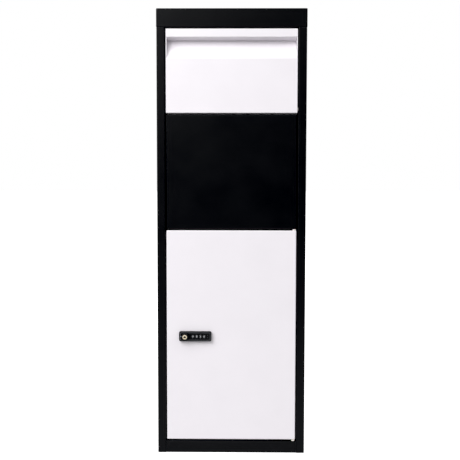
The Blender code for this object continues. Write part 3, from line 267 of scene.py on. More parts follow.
def turned_brass(name, colour, shade, keyway_shade_colour):
    """Brass, turned and lightly polished: warm, with the tool's rings round its axis and dull spots.

    In the keyway its colour turns dark brown: painted shade for the keyway's depth.
    """
    material, tree, shader = new_material(name, Metallic=0.75)
    place = add(tree, "ShaderNodeTexCoord", "Object")
    axis = {1: tuple(JOINTS["key_turn"])}
    centred = add(tree, "ShaderNodeVectorMath", "Vector", axis, {0: place}, operation="SUBTRACT")
    rings = add(
        tree, "ShaderNodeTexWave", "Fac",
        {"Scale": WAVE_LENGTH / BRASS_RING, "Distortion": 0.4, "Detail": 1.0}, {"Vector": centred},
        wave_type="RINGS", rings_direction="Y",
    )
    spots = add(tree, "ShaderNodeTexNoise", "Fac", patches(BRASS_SPOT, 3.0), {"Vector": place})
    dull = add(tree, "ShaderNodeMapRange", "Result", between(0.45, 0.7), {"Value": spots})
    polished = add(
        tree, "ShaderNodeMix", 2, {6: colour, 7: shade}, {"Factor": dull}, data_type="RGBA"
    )
    flat = {1: (1.0, 0.0, 1.0)}
    across = add(tree, "ShaderNodeVectorMath", "Vector", flat, {0: centred}, operation="MULTIPLY")
    reach = add(tree, "ShaderNodeVectorMath", "Value", links={0: across}, operation="LENGTH")
    rim = between(KEYWAY_REACH, KEYWAY_REACH + 0.4 * MM, 1.0, 0.0)
    inside_rim = add(tree, "ShaderNodeMapRange", "Result", rim, {"Value": reach})
    # Painted shade: within the keyway's reach and behind the cylinder's face the colour turns dark.
    depth = add(tree, "ShaderNodeSeparateXYZ", "Y", links={"Vector": place})
    front = between(KEY[0][1] + 0.05 * MM, KEY[0][1] + 0.5 * MM)
    behind_face = add(tree, "ShaderNodeMapRange", "Result", front, {"Value": depth})
    keyway = add(tree, "ShaderNodeMath", 0, links={0: behind_face, 1: inside_rim}, operation="MULTIPLY")
    body = add(
        tree, "ShaderNodeMix", 2, {7: keyway_shade_colour}, {"Factor": keyway, 6: polished}, data_type="RGBA"
    )
    tree.links.new(body, shader.inputs["Base Color"])
    sheen = add(tree, "ShaderNodeMapRange", "Result", between(0.0, 1.0, 0.4, 0.5), {"Value": rings})
    tree.links.new(sheen, shader.inputs["Roughness"])
    relief(tree, shader, [(rings, 0.006 * MM)], 0.2 * MM)
    return material


def moulded(name, colour, roughness, grain, height, variation, rubbed_and_lit_edge_colour=None, **values):
    """A moulded or cast surface with its tool's grain: nylon, rubber, plastic or a painted casting.

    It gives an even body colour, patches of handled shine, and with rubbed_and_lit_edge_colour a paler
    edge, partly abrasion and partly a painted highlight.
    """
    material, tree, shader = new_material(name, **values)
    place = add(tree, "ShaderNodeTexCoord", "Object")
    handled = add(tree, "ShaderNodeTexNoise", "Fac", patches(HANDLED_PATCH, 3.0), {"Vector": place})
    share = add(tree, "ShaderNodeMapRange", "Result", between(0.3, 0.7), {"Value": handled})
    shades = {6: times(colour, 1 - variation), 7: times(colour, 1 + variation)}
    body = add(tree, "ShaderNodeMix", 2, shades, {"Factor": share}, data_type="RGBA")
    if rubbed_and_lit_edge_colour is not None:
        # Painted highlight along sharp edges, partly abrasion as well.
        stretch = add(tree, "ShaderNodeTexNoise", "Fac", patches(RUBBED_AND_LIT_STRETCH, 3.0), {"Vector": place})
        rubbed_and_lit_share = add(tree, "ShaderNodeMapRange", "Result", between(0.4, 0.6, 0.15, 1.0), {"Value": stretch})
        edges = sharp_edges(tree, RUBBED_AND_LIT_EDGE)
        rubbed_and_lit_edges = add(tree, "ShaderNodeMath", 0, links={0: edges, 1: rubbed_and_lit_share}, operation="MULTIPLY")
        body = add(
            tree, "ShaderNodeMix", 2, {7: rubbed_and_lit_edge_colour}, {"Factor": rubbed_and_lit_edges, 6: body}, data_type="RGBA"
        )
    tree.links.new(body, shader.inputs["Base Color"])
    sheen = between(0.3, 0.7, roughness - 0.06, roughness + 0.06)
    sheen = add(tree, "ShaderNodeMapRange", "Result", sheen, {"Value": handled})
    tree.links.new(sheen, shader.inputs["Roughness"])
    texture = add(tree, "ShaderNodeTexNoise", "Fac", patches(grain, 2.0), {"Vector": place})
    relief(tree, shader, [(texture, height)], 0.25 * MM)
    return material


def weld_marks(material, line_x, pitch, radius):
    """Shallow round electrode marks down two lines at x = line_x on either side, pressed into the sheet."""
    tree = material.node_tree
    shader = tree.nodes["Principled BSDF"]
    place = add(tree, "ShaderNodeTexCoord", "Object")
    split = add(tree, "ShaderNodeSeparateXYZ", None, links={"Vector": place})
    side = add(tree, "ShaderNodeMath", 0, links={0: split.outputs["X"]}, operation="ABSOLUTE")
    across = add(tree, "ShaderNodeMath", 0, {1: line_x}, {0: side}, operation="SUBTRACT")
    rise = {0: split.outputs["Z"]}
    step = add(tree, "ShaderNodeMath", 0, {1: pitch}, rise, operation="FLOORED_MODULO")
    up = add(tree, "ShaderNodeMath", 0, {1: pitch / 2}, {0: step}, operation="SUBTRACT")
    flat = add(tree, "ShaderNodeCombineXYZ", "Vector", links={"X": across, "Y": up})
    reach = add(tree, "ShaderNodeVectorMath", "Value", links={0: flat}, operation="LENGTH")
    dent = add(tree, "ShaderNodeMapRange", "Result", between(radius * 0.7, radius), {"Value": reach})
    under = shader.inputs["Normal"].links[0].from_socket
    bump = add(
        tree, "ShaderNodeBump", "Normal", {"Strength": 1.0, "Distance": WELD_DEPTH},
        {"Height": dent, "Normal": under},
    )
    tree.links.new(bump, shader.inputs["Normal"])


def lit_acrylic(name, colour, glow, bounce, lit_radius):
    """Matt white acrylic, lit softly from below as on a product table: even, with hardly a shadow.

    Only the part within lit_radius is lit, so that is all the locker's own sheen and undersides see of it.
    """
    material, tree, shader = new_material(name, Specular_IOR_Level=0.1)
    shader.inputs["Emission Color"].default_value = colour
    place = add(tree, "ShaderNodeTexCoord", "Object")
    patch = add(tree, "ShaderNodeTexNoise", "Fac", patches(ACRYLIC_PATCH, 3.0), {"Vector": place})
    reach = add(tree, "ShaderNodeVectorMath", "Value", links={0: place}, operation="LENGTH")
    table = between(lit_radius, lit_radius * 1.8, 1.0, 0.0)
    table = add(tree, "ShaderNodeMapRange", "Result", table, {"Value": reach})
    rays = add(tree, "ShaderNodeLightPath", None)
    seen, glossy = rays.outputs["Is Camera Ray"], rays.outputs["Is Glossy Ray"]
    tints = {6: times(colour, 0.985), 7: colour}
    acrylic = add(tree, "ShaderNodeMix", 2, tints, {"Factor": patch}, data_type="RGBA")
    tints = {6: times(colour, 0.03), 7: times(colour, bounce)}
    lit = add(tree, "ShaderNodeMix", 2, tints, {"Factor": table}, data_type="RGBA")
    body = add(tree, "ShaderNodeMix", 2, links={"Factor": seen, 6: lit, 7: acrylic}, data_type="RGBA")
    tree.links.new(body, shader.inputs["Base Color"])
    mirrored = add(tree, "ShaderNodeMath", 0, links={0: table, 1: glossy}, operation="MULTIPLY")
    shine = add(tree, "ShaderNodeMapRange", "Result", between(0.0, 1.0, 0.0, 0.5), {"Value": mirrored})
    light = add(tree, "ShaderNodeMath", 0, {1: glow}, {0: seen, 2: shine}, operation="MULTIPLY_ADD")
    tree.links.new(light, shader.inputs["Emission Strength"])
    sheen = add(tree, "ShaderNodeMapRange", "Result", between(0.3, 0.7, 0.8, 0.9), {"Value": patch})
    tree.links.new(sheen, shader.inputs["Roughness"])
    return material


# ---------------------------------------------------------------- shapes

def fold_shading():
    """Geometry nodes that join loose faces and shade smoothly over edges flatter than 30 degrees."""
    name = "fold_shading"
    if name in bpy.data.node_groups:
        return bpy.data.node_groups[name]
    group = bpy.data.node_groups.new(name, "GeometryNodeTree")
    for way in ("INPUT", "OUTPUT"):
        group.interface.new_socket("Geometry", in_out=way, socket_type="NodeSocketGeometry")
    solid = add(group, "NodeGroupInput", "Geometry")
    solid = add(
        group, "GeometryNodeMergeByDistance", "Geometry", {"Distance": 0.002 * MM}, {"Geometry": solid}
    )
    solid = add(
        group, "GeometryNodeRemoveAttribute", "Geometry", {"Name": "custom_normal"}, {"Geometry": solid}
    )
    solid = add(
        group, "GeometryNodeSetShadeSmooth", "Geometry", {"Shade Smooth": True}, {"Geometry": solid},
        domain="FACE",
    )
    angle = add(group, "GeometryNodeInputMeshEdgeAngle", "Unsigned Angle")
    limit = {"B": math.radians(30)}
    gentle = add(group, "FunctionNodeCompare", "Result", limit, {"A": angle}, operation="LESS_THAN")
    solid = add(
        group, "GeometryNodeSetShadeSmooth", "Geometry", links={"Geometry": solid, "Shade Smooth": gentle},
        domain="EDGE",
    )
    add(group, "NodeGroupOutput", None, links={"Geometry": solid})
    return group


def shade_folds(piece):
    """Smooth shading over bends and round edges, with the flats left flat."""
    piece.modifiers.new("fold_shading", "NODES").node_group = fold_shading()
    weighted = piece.modifiers.new("flats_lead", "WEIGHTED_NORMAL")
    weighted.keep_sharp = True
    weighted.weight = 100


def finish_piece(name, shape, material, body):
    """The bmesh as an object with outward faces, its material, and the body it rides on."""
    bmesh.ops.recalc_face_normals(shape, faces=shape.faces[:])
    mesh = bpy.data.meshes.new(name)
    shape.to_mesh(mesh)
    shape.free()
    mesh.materials.append(material)
    piece = bpy.data.objects.new(name, mesh)
    bpy.context.scene.collection.objects.link(piece)
    shade_folds(piece)
    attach(piece, body)
    return piece


def bow(centre, reach, start, end, steps=12):
    """Points on an upright ellipse from one angle to another, in degrees."""
    points = []
    for i in range(steps + 1):
        angle = math.radians(start + (end - start) * i / steps)
        points.append((centre[0] + reach[0] * math.cos(angle), centre[1] + reach[1] * math.sin(angle)))
    return points


def edge_lines(line, width, closed):
    """The two edges of a ribbon of this width along the line."""
    count = len(line)
    points = [Vector(point) for point in line]
    left, right = [], []
    for i, point in enumerate(points):
        runs = []
        if closed or i > 0:
            runs.append((point - points[i - 1]).normalized())
        if closed or i < count - 1:
            runs.append((points[(i + 1) % count] - point).normalized())
        normals = [Vector((-run.y, run.x)) for run in runs]
        middle = sum(normals, Vector((0, 0))).normalized()
        side = middle * (width / 2) / max(0.5, middle.dot(normals[0]))
        left.append(point + side)
        right.append(point - side)
    return left, right


def add_ribbon(shape, line, width, low, high, put, closed=False):
    """A closed ribbon along the line; put takes (across, up, out) to a place on the locker."""
    left, right = edge_lines(line, width, closed)
    rows = []
    for a, b in zip(left, right):
        corners = ((a, low), (a, high), (b, high), (b, low))
        rows.append([shape.verts.new(put(point.x, point.y, out)) for point, out in corners])
    pairs = list(zip(rows, rows[1:]))
    if closed:
        pairs.append((rows[-1], rows[0]))
    else:
        shape.faces.new(rows[0])
        shape.faces.new(rows[-1][::-1])
    for first, second in pairs:
        for i in range(4):
            j = (i + 1) % 4
            shape.faces.new((first[i], first[j], second[j], second[i]))


def add_plate(shape, outline, low, high, put):
    """A flat-topped plate with the outline's shape."""
    lower = [shape.verts.new(put(u, v, low)) for u, v in outline]
    upper = [shape.verts.new(put(u, v, high)) for u, v in outline]
    shape.faces.new(lower)
    shape.faces.new(upper)
    for i in range(len(outline)):
        j = (i + 1) % len(outline)
        shape.faces.new((lower[i], lower[j], upper[j], upper[i]))


def add_turned(shape, section, put, segments=24):
    """A turned body: section lists (radius, out), and starts and ends on the axis."""
    rows = []
    for radius, out in section:
        points = [(0.0, 0.0)] if radius == 0 else bow((0, 0), (radius, radius), 0, 360, segments)[:-1]
        rows.append([shape.verts.new(put(u, v, out)) for u, v in points])
    for first, second in zip(rows, rows[1:]):
        for i in range(segments):
            j = (i + 1) % segments
            corners = [
                first[i % len(first)], first[j % len(first)],
                second[j % len(second)], second[i % len(second)],
            ]
            shape.faces.new([v for k, v in enumerate(corners) if v not in corners[:k]])


def on_lock_face(u, v, out):
    """A place on the lock's face, from its middle."""
    return (LOCK_MIDDLE_X + u, LOCK[0][1] - out, LOCK_MIDDLE_Z + v)


# Number strokes in a cell 1 wide and 2 high, each (closed, line).
NUMBER_STROKES = {
    0: [(True, bow((0, 0.36), (0.46, 0.5), 0, 180) + bow((0, -0.36), (0.46, 0.5), 180, 360))],
    1: [(False, [(0.1, 0.92), (0.1, -0.86)]), (False, [(-0.32, 0.46), (0.1, 0.84)])],
    2: [
        (False, bow((0, 0.4), (0.46, 0.46), 165, -35) + [(-0.4, -0.76)]),
        (False, [(-0.52, -0.8), (0.52, -0.8)]),
    ],
    3: [(False, bow((0, 0.43), (0.42, 0.42), 150, -88)), (False, bow((0, -0.41), (0.46, 0.45), 88, -150))],
    4: [
        (False, [(-0.56, -0.36), (0.54, -0.36)]), (False, [(0.16, 0.88), (-0.46, -0.32)]),
        (False, [(0.18, 0.14), (0.18, -0.86)]),
    ],
    5: [(False, [(0.4, 0.8), (-0.34, 0.8), (-0.38, 0.1)] + bow((0, -0.34), (0.46, 0.48), 125, -150))],
    6: [
        (True, bow((0, -0.38), (0.44, 0.46), 0, 360, 20)[:-1]),
        (False, bow((0.32, -0.32), (0.76, 1.16), 95, 172)),
    ],
    7: [(False, [(-0.52, 0.8), (0.52, 0.8)]), (False, [(0.42, 0.78), (-0.14, -0.86)])],
    8: [
        (True, bow((0, 0.42), (0.38, 0.4), 0, 360, 20)[:-1]),
        (True, bow((0, -0.42), (0.46, 0.44), 0, 360, 20)[:-1]),
    ],
}
NUMBER_STROKES[9] = [(closed, [(-u, -v) for u, v in line]) for closed, line in NUMBER_STROKES[6]]
# The round numbers' width and height in that cell, between the middles of their strokes
WIDEST_NUMBER = 0.92
TALLEST_NUMBER = 1.72


# ---------------------------------------------------------------- properties

def colour_property(name, text, description):
    """A colour from its sRGB hex value."""
    return bpy.props.FloatVectorProperty(
        name=name, description=description, subtype="COLOR", size=4, min=0.0, max=1.0,
        default=from_hex(text),
    )


def length_property(name, millimetres, description):
    """A length from its value in millimetres."""
    return bpy.props.FloatProperty(
        name=name, description=description, unit="LENGTH", min=0.0, default=millimetres * MM, precision=5
    )


def place_property(name, place, description):
    """A place in metres."""
    return bpy.props.FloatVectorProperty(
        name=name, description=description, subtype="TRANSLATION", unit="LENGTH", default=place
    )


def amount_property(name, amount, description, unit="NONE"):
    """A plain amount, or one in the unit's own measure."""
    return bpy.props.FloatProperty(
        name=name, description=description, unit=unit, default=amount, precision=4
    )


class LockerFinishes(bpy.types.PropertyGroup):
    """Colours of the finishes and the grain of the coat."""

    black_coat: colour_property("Black coat", "#0A0B0E", "Powder coat on the cabinet, cap and cover")
    # This edge colour is partly abrasion and partly a painted highlight.
    black_edge_wear_and_highlight: colour_property("Black coat, edges", "#45464B", "Where the black coat is thin on an edge")
    white_coat: colour_property("White coat", "#EEEAEF", "Powder coat on the hopper and the door")
    # A painted highlight: the white coat's edges are painted pure white.
    white_edge_highlight: colour_property("White coat, edges", "#FFFFFF", "Where the white coat catches on an edge")
    dust: colour_property("Dust", "#6E6A64", "Dust on surfaces that face up")
    zinc: colour_property("Zinc", "#C3C7CC", "Screws, pins, cam and hinge plates")
    # Painted shade: the cover's screws are black to match the shade in the gaps.
    black_zinc_gap_shade: colour_property("Black zinc", "#15161A", "The cover's screws")
    brass: colour_property("Brass", "#FBF1DA", "The key cylinder")
    brass_shade: colour_property("Brass, dull spots", "#E6D3A8", "Where the brass has dulled")
    # Painted shade for the depth of the keyway.
    brass_keyway_shade: colour_property("Brass, keyway", "#241A14", "Inside the keyway")
    nylon: colour_property("Nylon", "#F0EFEA", "Washers and bushes")
    rubber: colour_property("Rubber", "#1A1A1C", "Pads, sleeves, plugs and the lock's gasket")
    lock_black: colour_property("Lock black", "#08090C", "The lock's casting and knob")
    # The lock's edge colour is partly abrasion and partly a painted highlight.
    lock_edge_wear_and_highlight: colour_property("Lock black, edges", "#333438", "Rubbed edges of the lock")
    dial_black: colour_property("Dial black", "#0B0C0F", "The number dials")
    print_grey: colour_property("Printed grey", "#C6C7CC", "The dials' numbers")
    # The frame's paler grey is a painted highlight along its raised rim; the dots share the colour.
    print_and_frame_highlight: colour_property("Printed dark grey", "#6A6B70", "The dots and the frame on the lock's face")
    print_blue: colour_property("Pointer", "#B9C4DA", "The pointer beside the knob")
    coat_grain: length_property("Coat grain", 2.2, "Spacing of the powder coat's orange peel")


class LockerMarks(bpy.types.PropertyGroup):
    """Sizes of the lock's marks and of the small pieces."""

    number_height: length_property("Number height", 4.8, "Height of a number on its dial")
    number_width: length_property("Number width", 3.6, "Width of a number on its dial")
    number_stroke: length_property("Number stroke", 0.9, "Width of a number's stroke")
    print_rise: length_property("Print rise", 0.06, "How far the print stands off its surface")
    frame_inset: length_property("Frame inset", 3.4, "From the lock's edge to its raised frame")
    frame_width: length_property("Frame width", 0.8, "Width of the raised frame")
    frame_rise: length_property("Frame rise", 0.3, "Height of the raised frame")
    frame_corner: length_property("Frame corner", 2.2, "Radius of the raised frame's corners")
    hood_start: length_property("Hood start", 4.15, "From a dial's middle to the foot of a hood")
    hood_reach: length_property("Hood reach", 2.6, "Height of a hood")
    hood_width: length_property("Hood width", 8.8, "Width of a hood")
    dot_radius: length_property("Dot radius", 0.7, "Radius of the two dots beside the dials")
    dot_offset: length_property("Dot offset", 2.8, "From the lock's middle line up or down to a dot")
    pointer_length: length_property("Pointer length", 2.1, "Length of the pointer beside the knob")
    pointer_half: length_property("Pointer half height", 1.3, "From the pointer's tip up to its corner")
    ridge_radius: length_property("Ridge radius", 0.35, "Radius of the knob's grip ridges")
    ridge_count: bpy.props.IntProperty(name="Ridges", description="Ridges round the knob", default=30)
    weld_pitch: length_property("Weld pitch", 75, "Distance between spot welds on the back")
    weld_radius: length_property("Weld radius", 3.2, "Radius of a spot weld's mark")
    weld_inset: length_property("Weld inset", 9, "From the back's edge to its line of spot welds")


class LockerStudio(bpy.types.PropertyGroup):
    """The camera, the floor and the lights."""

    focal_length: amount_property("Focal length", 64.14, "With the camera's sensor width", "CAMERA")
    sensor_width: amount_property("Sensor width", 36.0, "Width of the camera's sensor", "CAMERA")
    camera_place: place_property("Camera", (0.0234, -2.375, 0.7693), "Where the camera stands")
    camera_down: amount_property("Camera tilt", 4.079, "Degrees below the horizontal")
    camera_turn: amount_property("Camera turn", 0.711, "Degrees to the left")
    camera_roll: amount_property("Camera roll", 0.089, "Degrees anticlockwise")
    floor_radius: length_property("Floor radius", 30000, "Radius of the floor")
    table_radius: length_property("Table radius", 1300, "Radius of the lit part of the floor")
    floor_paint: colour_property("Floor", "#F7F7F7", "The floor's acrylic")
    floor_glow: amount_property("Floor glow", 0.75, "Light from under the floor")
    floor_bounce: amount_property("Floor bounce", 0.35, "Share of the floor's light that lights the locker")
    lamp_aim: place_property("Aim", (0.0, 0.0, 0.7), "What both lamps point at")
    key_place: place_property("Key place", (-1.3, -1.75, 2.0), "Where the soft key light stands")
    key_width: length_property("Key width", 1800, "Width of the soft key light")
    key_strength: amount_property("Key", 36.0, "Power of the soft key light", "POWER")
    sun_place: place_property("Sun place", (-0.8, -2.0, 2.6), "Where the broad front light comes from")
    sun_spread: amount_property("Sun spread", 60.0, "Degrees that the broad front light spreads over")
    sun_strength: amount_property("Sun", 0.8, "Strength of the broad front light")
    fill_strength: amount_property("Surround", 0.82, "Strength of the light from all round")
    front_glint: amount_property("Front glint", 0.04, "What glossy surfaces see of the surround in front")
    rear_glint: amount_property("Rear glint", 1.3, "What glossy surfaces see of the surround behind")
    black_level: amount_property("Black level", 0.0072, "What the camera takes for black")


# ---------------------------------------------------------------- operators

def dress(slot, material):
    """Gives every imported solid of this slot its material."""
    dressed = [
        node for _, node in sorted(frame["nodes"].items()) if node.material_slots[0].name.startswith(slot)
    ]
    if not dressed:
        raise RuntimeError(f"no packed solid has the slot {slot}")
    for node in dressed:
        node.material_slots[0].material = material
        shade_folds(node)


def dress_alone(start, material):
    """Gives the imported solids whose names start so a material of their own."""
    dressed = [node for name, node in frame["nodes"].items() if name.startswith(start)]
    if not dressed:
        raise RuntimeError(f"no packed solid has a name that starts with {start}")
    for node in dressed:
        node.material_slots[0].material = material


def material_named(name):
    """The finish that an earlier operator made."""
    if name not in bpy.data.materials:
        raise RuntimeError(f"{name} isn't made yet: run the finishes first")
    return bpy.data.materials[name]


class LOCKER_OT_powder_coats(bpy.types.Operator):
    """Puts the black and the white powder coat on the sheets"""

    bl_idname = "locker.powder_coats"
    bl_label = "Powder coats"

    def execute(self, context):
        finishes, marks = context.scene.locker_finishes, context.scene.locker_marks
        black = {
            "colour": finishes.black_coat, "roughness": 0.4, "specular": 0.19,
            "grain": finishes.coat_grain, "edge_wear_and_highlight_colour": finishes.black_edge_wear_and_highlight,
            "dust_colour": finishes.dust, "wave": 0.4 * MM,
        }
        dress("black_powder_coat", powder_coat("satin_black_powder_coat", **black))
        dress("white_powder_coat", powder_coat(
            "satin_white_powder_coat", colour=finishes.white_coat, roughness=0.42, specular=0.4,
            grain=finishes.coat_grain, edge_wear_and_highlight_colour=finishes.white_edge_highlight,
            dust_colour=times(finishes.dust, 3.0), wave=0.1 * MM,
        ))
        welded = powder_coat("welded_black_powder_coat", **black)
        weld_marks(welded, BACK[1][0] - marks.weld_inset, marks.weld_pitch, marks.weld_radius)
        dress_alone("back_panel", welded)
        return {"FINISHED"}


class LOCKER_OT_metals(bpy.types.Operator):
    """Puts zinc plating on the fixings and brass on the key cylinder"""

    bl_idname = "locker.metals"
    bl_label = "Zinc and brass"

    def execute(self, context):
        finishes = context.scene.locker_finishes
        dress("zinc_plated_steel", zinc_plate("bright_zinc_plate", finishes.zinc))
        # Painted shade: these stand in the dark gaps beside the cover, so they are coloured black to stay
        # as dark as the gaps.
        dress_alone("cover_screw", zinc_plate("black_zinc_plate_gap_shade", finishes.black_zinc_gap_shade))
        dress("brass", turned_brass(
            "turned_brass", finishes.brass, finishes.brass_shade, finishes.brass_keyway_shade
        ))
        return {"FINISHED"}


class LOCKER_OT_mouldings(bpy.types.Operator):
    """Puts nylon, rubber, painted casting, dial plastic and print on the small pieces"""

    bl_idname = "locker.mouldings"
    bl_label = "Nylon, rubber and lock black"

    def execute(self, context):
        finishes = context.scene.locker_finishes
        dress("white_nylon", moulded(
            "natural_nylon", finishes.nylon, roughness=0.45, grain=0.8 * MM, height=0.01 * MM,
            variation=0.03, Subsurface_Weight=0.15, Subsurface_Scale=1 * MM,
        ))
        # Painted shade: only the left washer is coloured black, to hide it in shade; its pair stays natural
        # nylon.
        dress_alone("hopper_washer_left", moulded(
            "left_washer_painted_shade", finishes.lock_black, roughness=0.5, grain=0.8 * MM, height=0.01 * MM,
            variation=0.1,
        ))
        dress("black_rubber", moulded(
            "moulded_rubber", finishes.rubber, roughness=0.8, grain=0.6 * MM, height=0.03 * MM,
            variation=0.15,
        ))
        dress("black_die_cast", moulded(
            "painted_zinc_casting", finishes.lock_black, roughness=0.4, grain=0.7 * MM, height=0.02 * MM,
            variation=0.1, rubbed_and_lit_edge_colour=finishes.lock_edge_wear_and_highlight, Specular_IOR_Level=0.2,
        ))
        dress("black_dial_plastic", moulded(
            "moulded_dial_plastic", finishes.dial_black, roughness=0.34, grain=1.2 * MM, height=0.01 * MM,
            variation=0.1, rubbed_and_lit_edge_colour=times(finishes.lock_edge_wear_and_highlight, 0.6),
        ))
        for name, colour in (
            ("printed_light_grey", finishes.print_grey),
            ("printed_pale_blue", finishes.print_blue),
            ("dark_grey_print_and_frame_highlight", finishes.print_and_frame_highlight),
        ):
            moulded(name, colour, roughness=0.5, grain=0.4 * MM, height=0.01 * MM, variation=0.1)
        return {"FINISHED"}


class LOCKER_OT_dial_numbers(bpy.types.Operator):
    """Prints 0 to 9 round each dial, curved to its rim"""

    bl_idname = "locker.dial_numbers"
    bl_label = "Dial numbers"

    def execute(self, context):
        marks = context.scene.locker_marks
        step = 2 * math.pi / PLACES_ON_DIAL
        half_width = (marks.number_width - marks.number_stroke) / WIDEST_NUMBER
        half_height = (marks.number_height - marks.number_stroke) / TALLEST_NUMBER
        for i in range(DIAL_COUNT):
            dial = frame["nodes"][f"number_dial_{i + 1}"]
            axis = JOINTS[f"dial_{i + 1}_turn"]
            rim = max(math.hypot(v.co.y - axis.y, v.co.z - axis.z) for v in dial.data.vertices)
            shape = bmesh.new()
            for number, strokes in NUMBER_STROKES.items():
                middle = (number - SHOWN_NUMBERS[i]) * step

                def round_rim(u, v, out):
                    angle = middle + v / rim
                    reach = rim + out
                    return (axis.x + u, axis.y - reach * math.cos(angle), axis.z + reach * math.sin(angle))

                for order, (closed, line) in enumerate(strokes):
                    scaled = self.finely([(u * half_width, v * half_height) for u, v in line], closed)
                    # Strokes that cross differ a little in height, so that their tops don't coincide.
                    rise = marks.print_rise * (1 - 0.15 * order)
                    add_ribbon(shape, scaled, marks.number_stroke, -PRINT_SINK, rise, round_rim, closed)
            finish_piece(
                f"dial_{i + 1}_numbers", shape, material_named("printed_light_grey"), f"dial_{i + 1}",
            )
        return {"FINISHED"}

    @staticmethod
    def finely(line, closed):
        """The line with no run longer than half a millimetre, so that it can curve round the rim."""
        points = []
        ends = line[1:] + line[:1] if closed else line[1:]
        for start, end in zip(line, ends):
            count = max(1, math.ceil(math.dist(start, end) / (0.5 * MM)))
            points += [
                (start[0] + (end[0] - start[0]) * k / count, start[1] + (end[1] - start[1]) * k / count)
                for k in range(count)
            ]
        return points if closed else points + [line[-1]]


class LOCKER_OT_lock_face(bpy.types.Operator):
    """Raises the frame on the lock's face and adds its dots and pointer"""

    bl_idname = "locker.lock_face"
    bl_label = "Lock face"

    def execute(self, context):
        marks = context.scene.locker_marks
        half_x = (LOCK[1][0] - LOCK[0][0]) / 2 - marks.frame_inset
        half_z = (LOCK[1][2] - LOCK[0][2]) / 2 - marks.frame_inset
        corner = marks.frame_corner
        line = []
        for quarter, (side_x, side_z) in enumerate(((1, 1), (-1, 1), (-1, -1), (1, -1))):
            centre = (side_x * (half_x - corner), side_z * (half_z - corner))
            line += bow(centre, (corner, corner), quarter * 90, quarter * 90 + 90, 6)
        shape = bmesh.new()
        # Painted highlight: the raised frame is coloured a paler grey for the light that runs along its
        # rim.
        add_ribbon(shape, line, marks.frame_width, -CAST_SINK, marks.frame_rise, on_lock_face, True)
        self.bevel_rim(shape)
        finish_piece(
            "lock_face_frame", shape, material_named("dark_grey_print_and_frame_highlight"), "door"
        )
        self.hoods(marks)
        self.dots(marks, half_x)
        self.pointer(marks, half_x)
        return {"FINISHED"}

    @staticmethod
    def dots(marks, half_x):
        """Two domed dots between the last dial and the frame's right side."""
        dial_edge = JOINTS[f"dial_{DIAL_COUNT}_turn"].x + DIAL_WIDTH / 2
        dot_x = (dial_edge + LOCK_MIDDLE_X + half_x) / 2 - LOCK_MIDDLE_X
        r = marks.dot_radius
        section = [(0, -CAST_SINK), (r, -CAST_SINK), (r, 0.1 * MM), (r * 0.7, 0.22 * MM), (0, 0.27 * MM)]
        shape = bmesh.new()
        for side in (-1, 1):
            def around(u, v, out, side=side):
                return on_lock_face(dot_x + u, side * marks.dot_offset + v, out)

            add_turned(shape, section, around, 16)
        finish_piece("lock_face_dots", shape, material_named("dark_grey_print_and_frame_highlight"), "door")

    @staticmethod
    def pointer(marks, half_x):
        """A printed triangle just inside the frame's left side, which points at the knob."""
        base = -half_x + marks.frame_width + 0.2 * MM
        outline = [
            (base, -marks.pointer_half), (base + marks.pointer_length, 0), (base, marks.pointer_half)
        ]
        shape = bmesh.new()
        add_plate(shape, outline, -PRINT_SINK, marks.print_rise, on_lock_face)
        finish_piece("lock_pointer", shape, material_named("printed_pale_blue"), "door")

    @staticmethod
    def hoods(marks):
        """A shallow arched hood above and below each dial, over the ends of its window."""
        arch = bow((0, marks.hood_start), (marks.hood_width / 2, marks.hood_reach), 0, 180, 16)
        shape = bmesh.new()
        for i in range(DIAL_COUNT):
            middle = JOINTS[f"dial_{i + 1}_turn"].x - LOCK_MIDDLE_X
            for side in (1, -1):
                outline = [(middle + u, side * v) for u, v in arch]
                add_plate(shape, outline, -HOOD_SINK, marks.frame_rise * 1.4, on_lock_face)
        bmesh.ops.recalc_face_normals(shape, faces=shape.faces[:])
        LOCKER_OT_lock_face.bevel_rim(shape)
        finish_piece("dial_hoods", shape, material_named("painted_zinc_casting"), "door")

    @staticmethod
    def bevel_rim(shape):
        """Softens the top edges of the frame or the hoods."""
        top = LOCK[0][1] - 0.2 * MM
        rim = [e for e in shape.edges if all(v.co.y < top for v in e.verts) and len(e.link_faces) == 2]
        rim = [e for e in rim if e.calc_face_angle() > math.radians(60)]
        bmesh.ops.bevel(shape, geom=rim, offset=0.15 * MM, segments=2, affect="EDGES")


class LOCKER_OT_knob_grip(bpy.types.Operator):
    """Runs grip ridges round the knob"""

    bl_idname = "locker.knob_grip"
    bl_label = "Knob grip"

    def execute(self, context):
        marks = context.scene.locker_marks
        axis = JOINTS["lock_turn"]
        radius = (KNOB[1][0] - KNOB[0][0]) / 2
        # The ridges stop short of the knob's rounded front and of the lock's face.
        front, back = KNOB[0][1] + 1.6 * MM, LOCK[0][1] - 0.3 * MM
        section = bow((radius * 0.995, 0), (marks.ridge_radius, marks.ridge_radius), -100, 100, 6)
        shape = bmesh.new()
        for i in range(marks.ridge_count):
            turn = 2 * math.pi * i / marks.ridge_count
            out_x, out_z = math.cos(turn), math.sin(turn)

            def along_rim(u, v, out):
                return (axis.x + u * out_x - v * out_z, out, axis.z + u * out_z + v * out_x)

            add_plate(shape, section, front, back, along_rim)
        finish_piece(
            "knob_grip_ridges", shape, material_named("painted_zinc_casting"), "lock_spindle",
        )
        return {"FINISHED"}


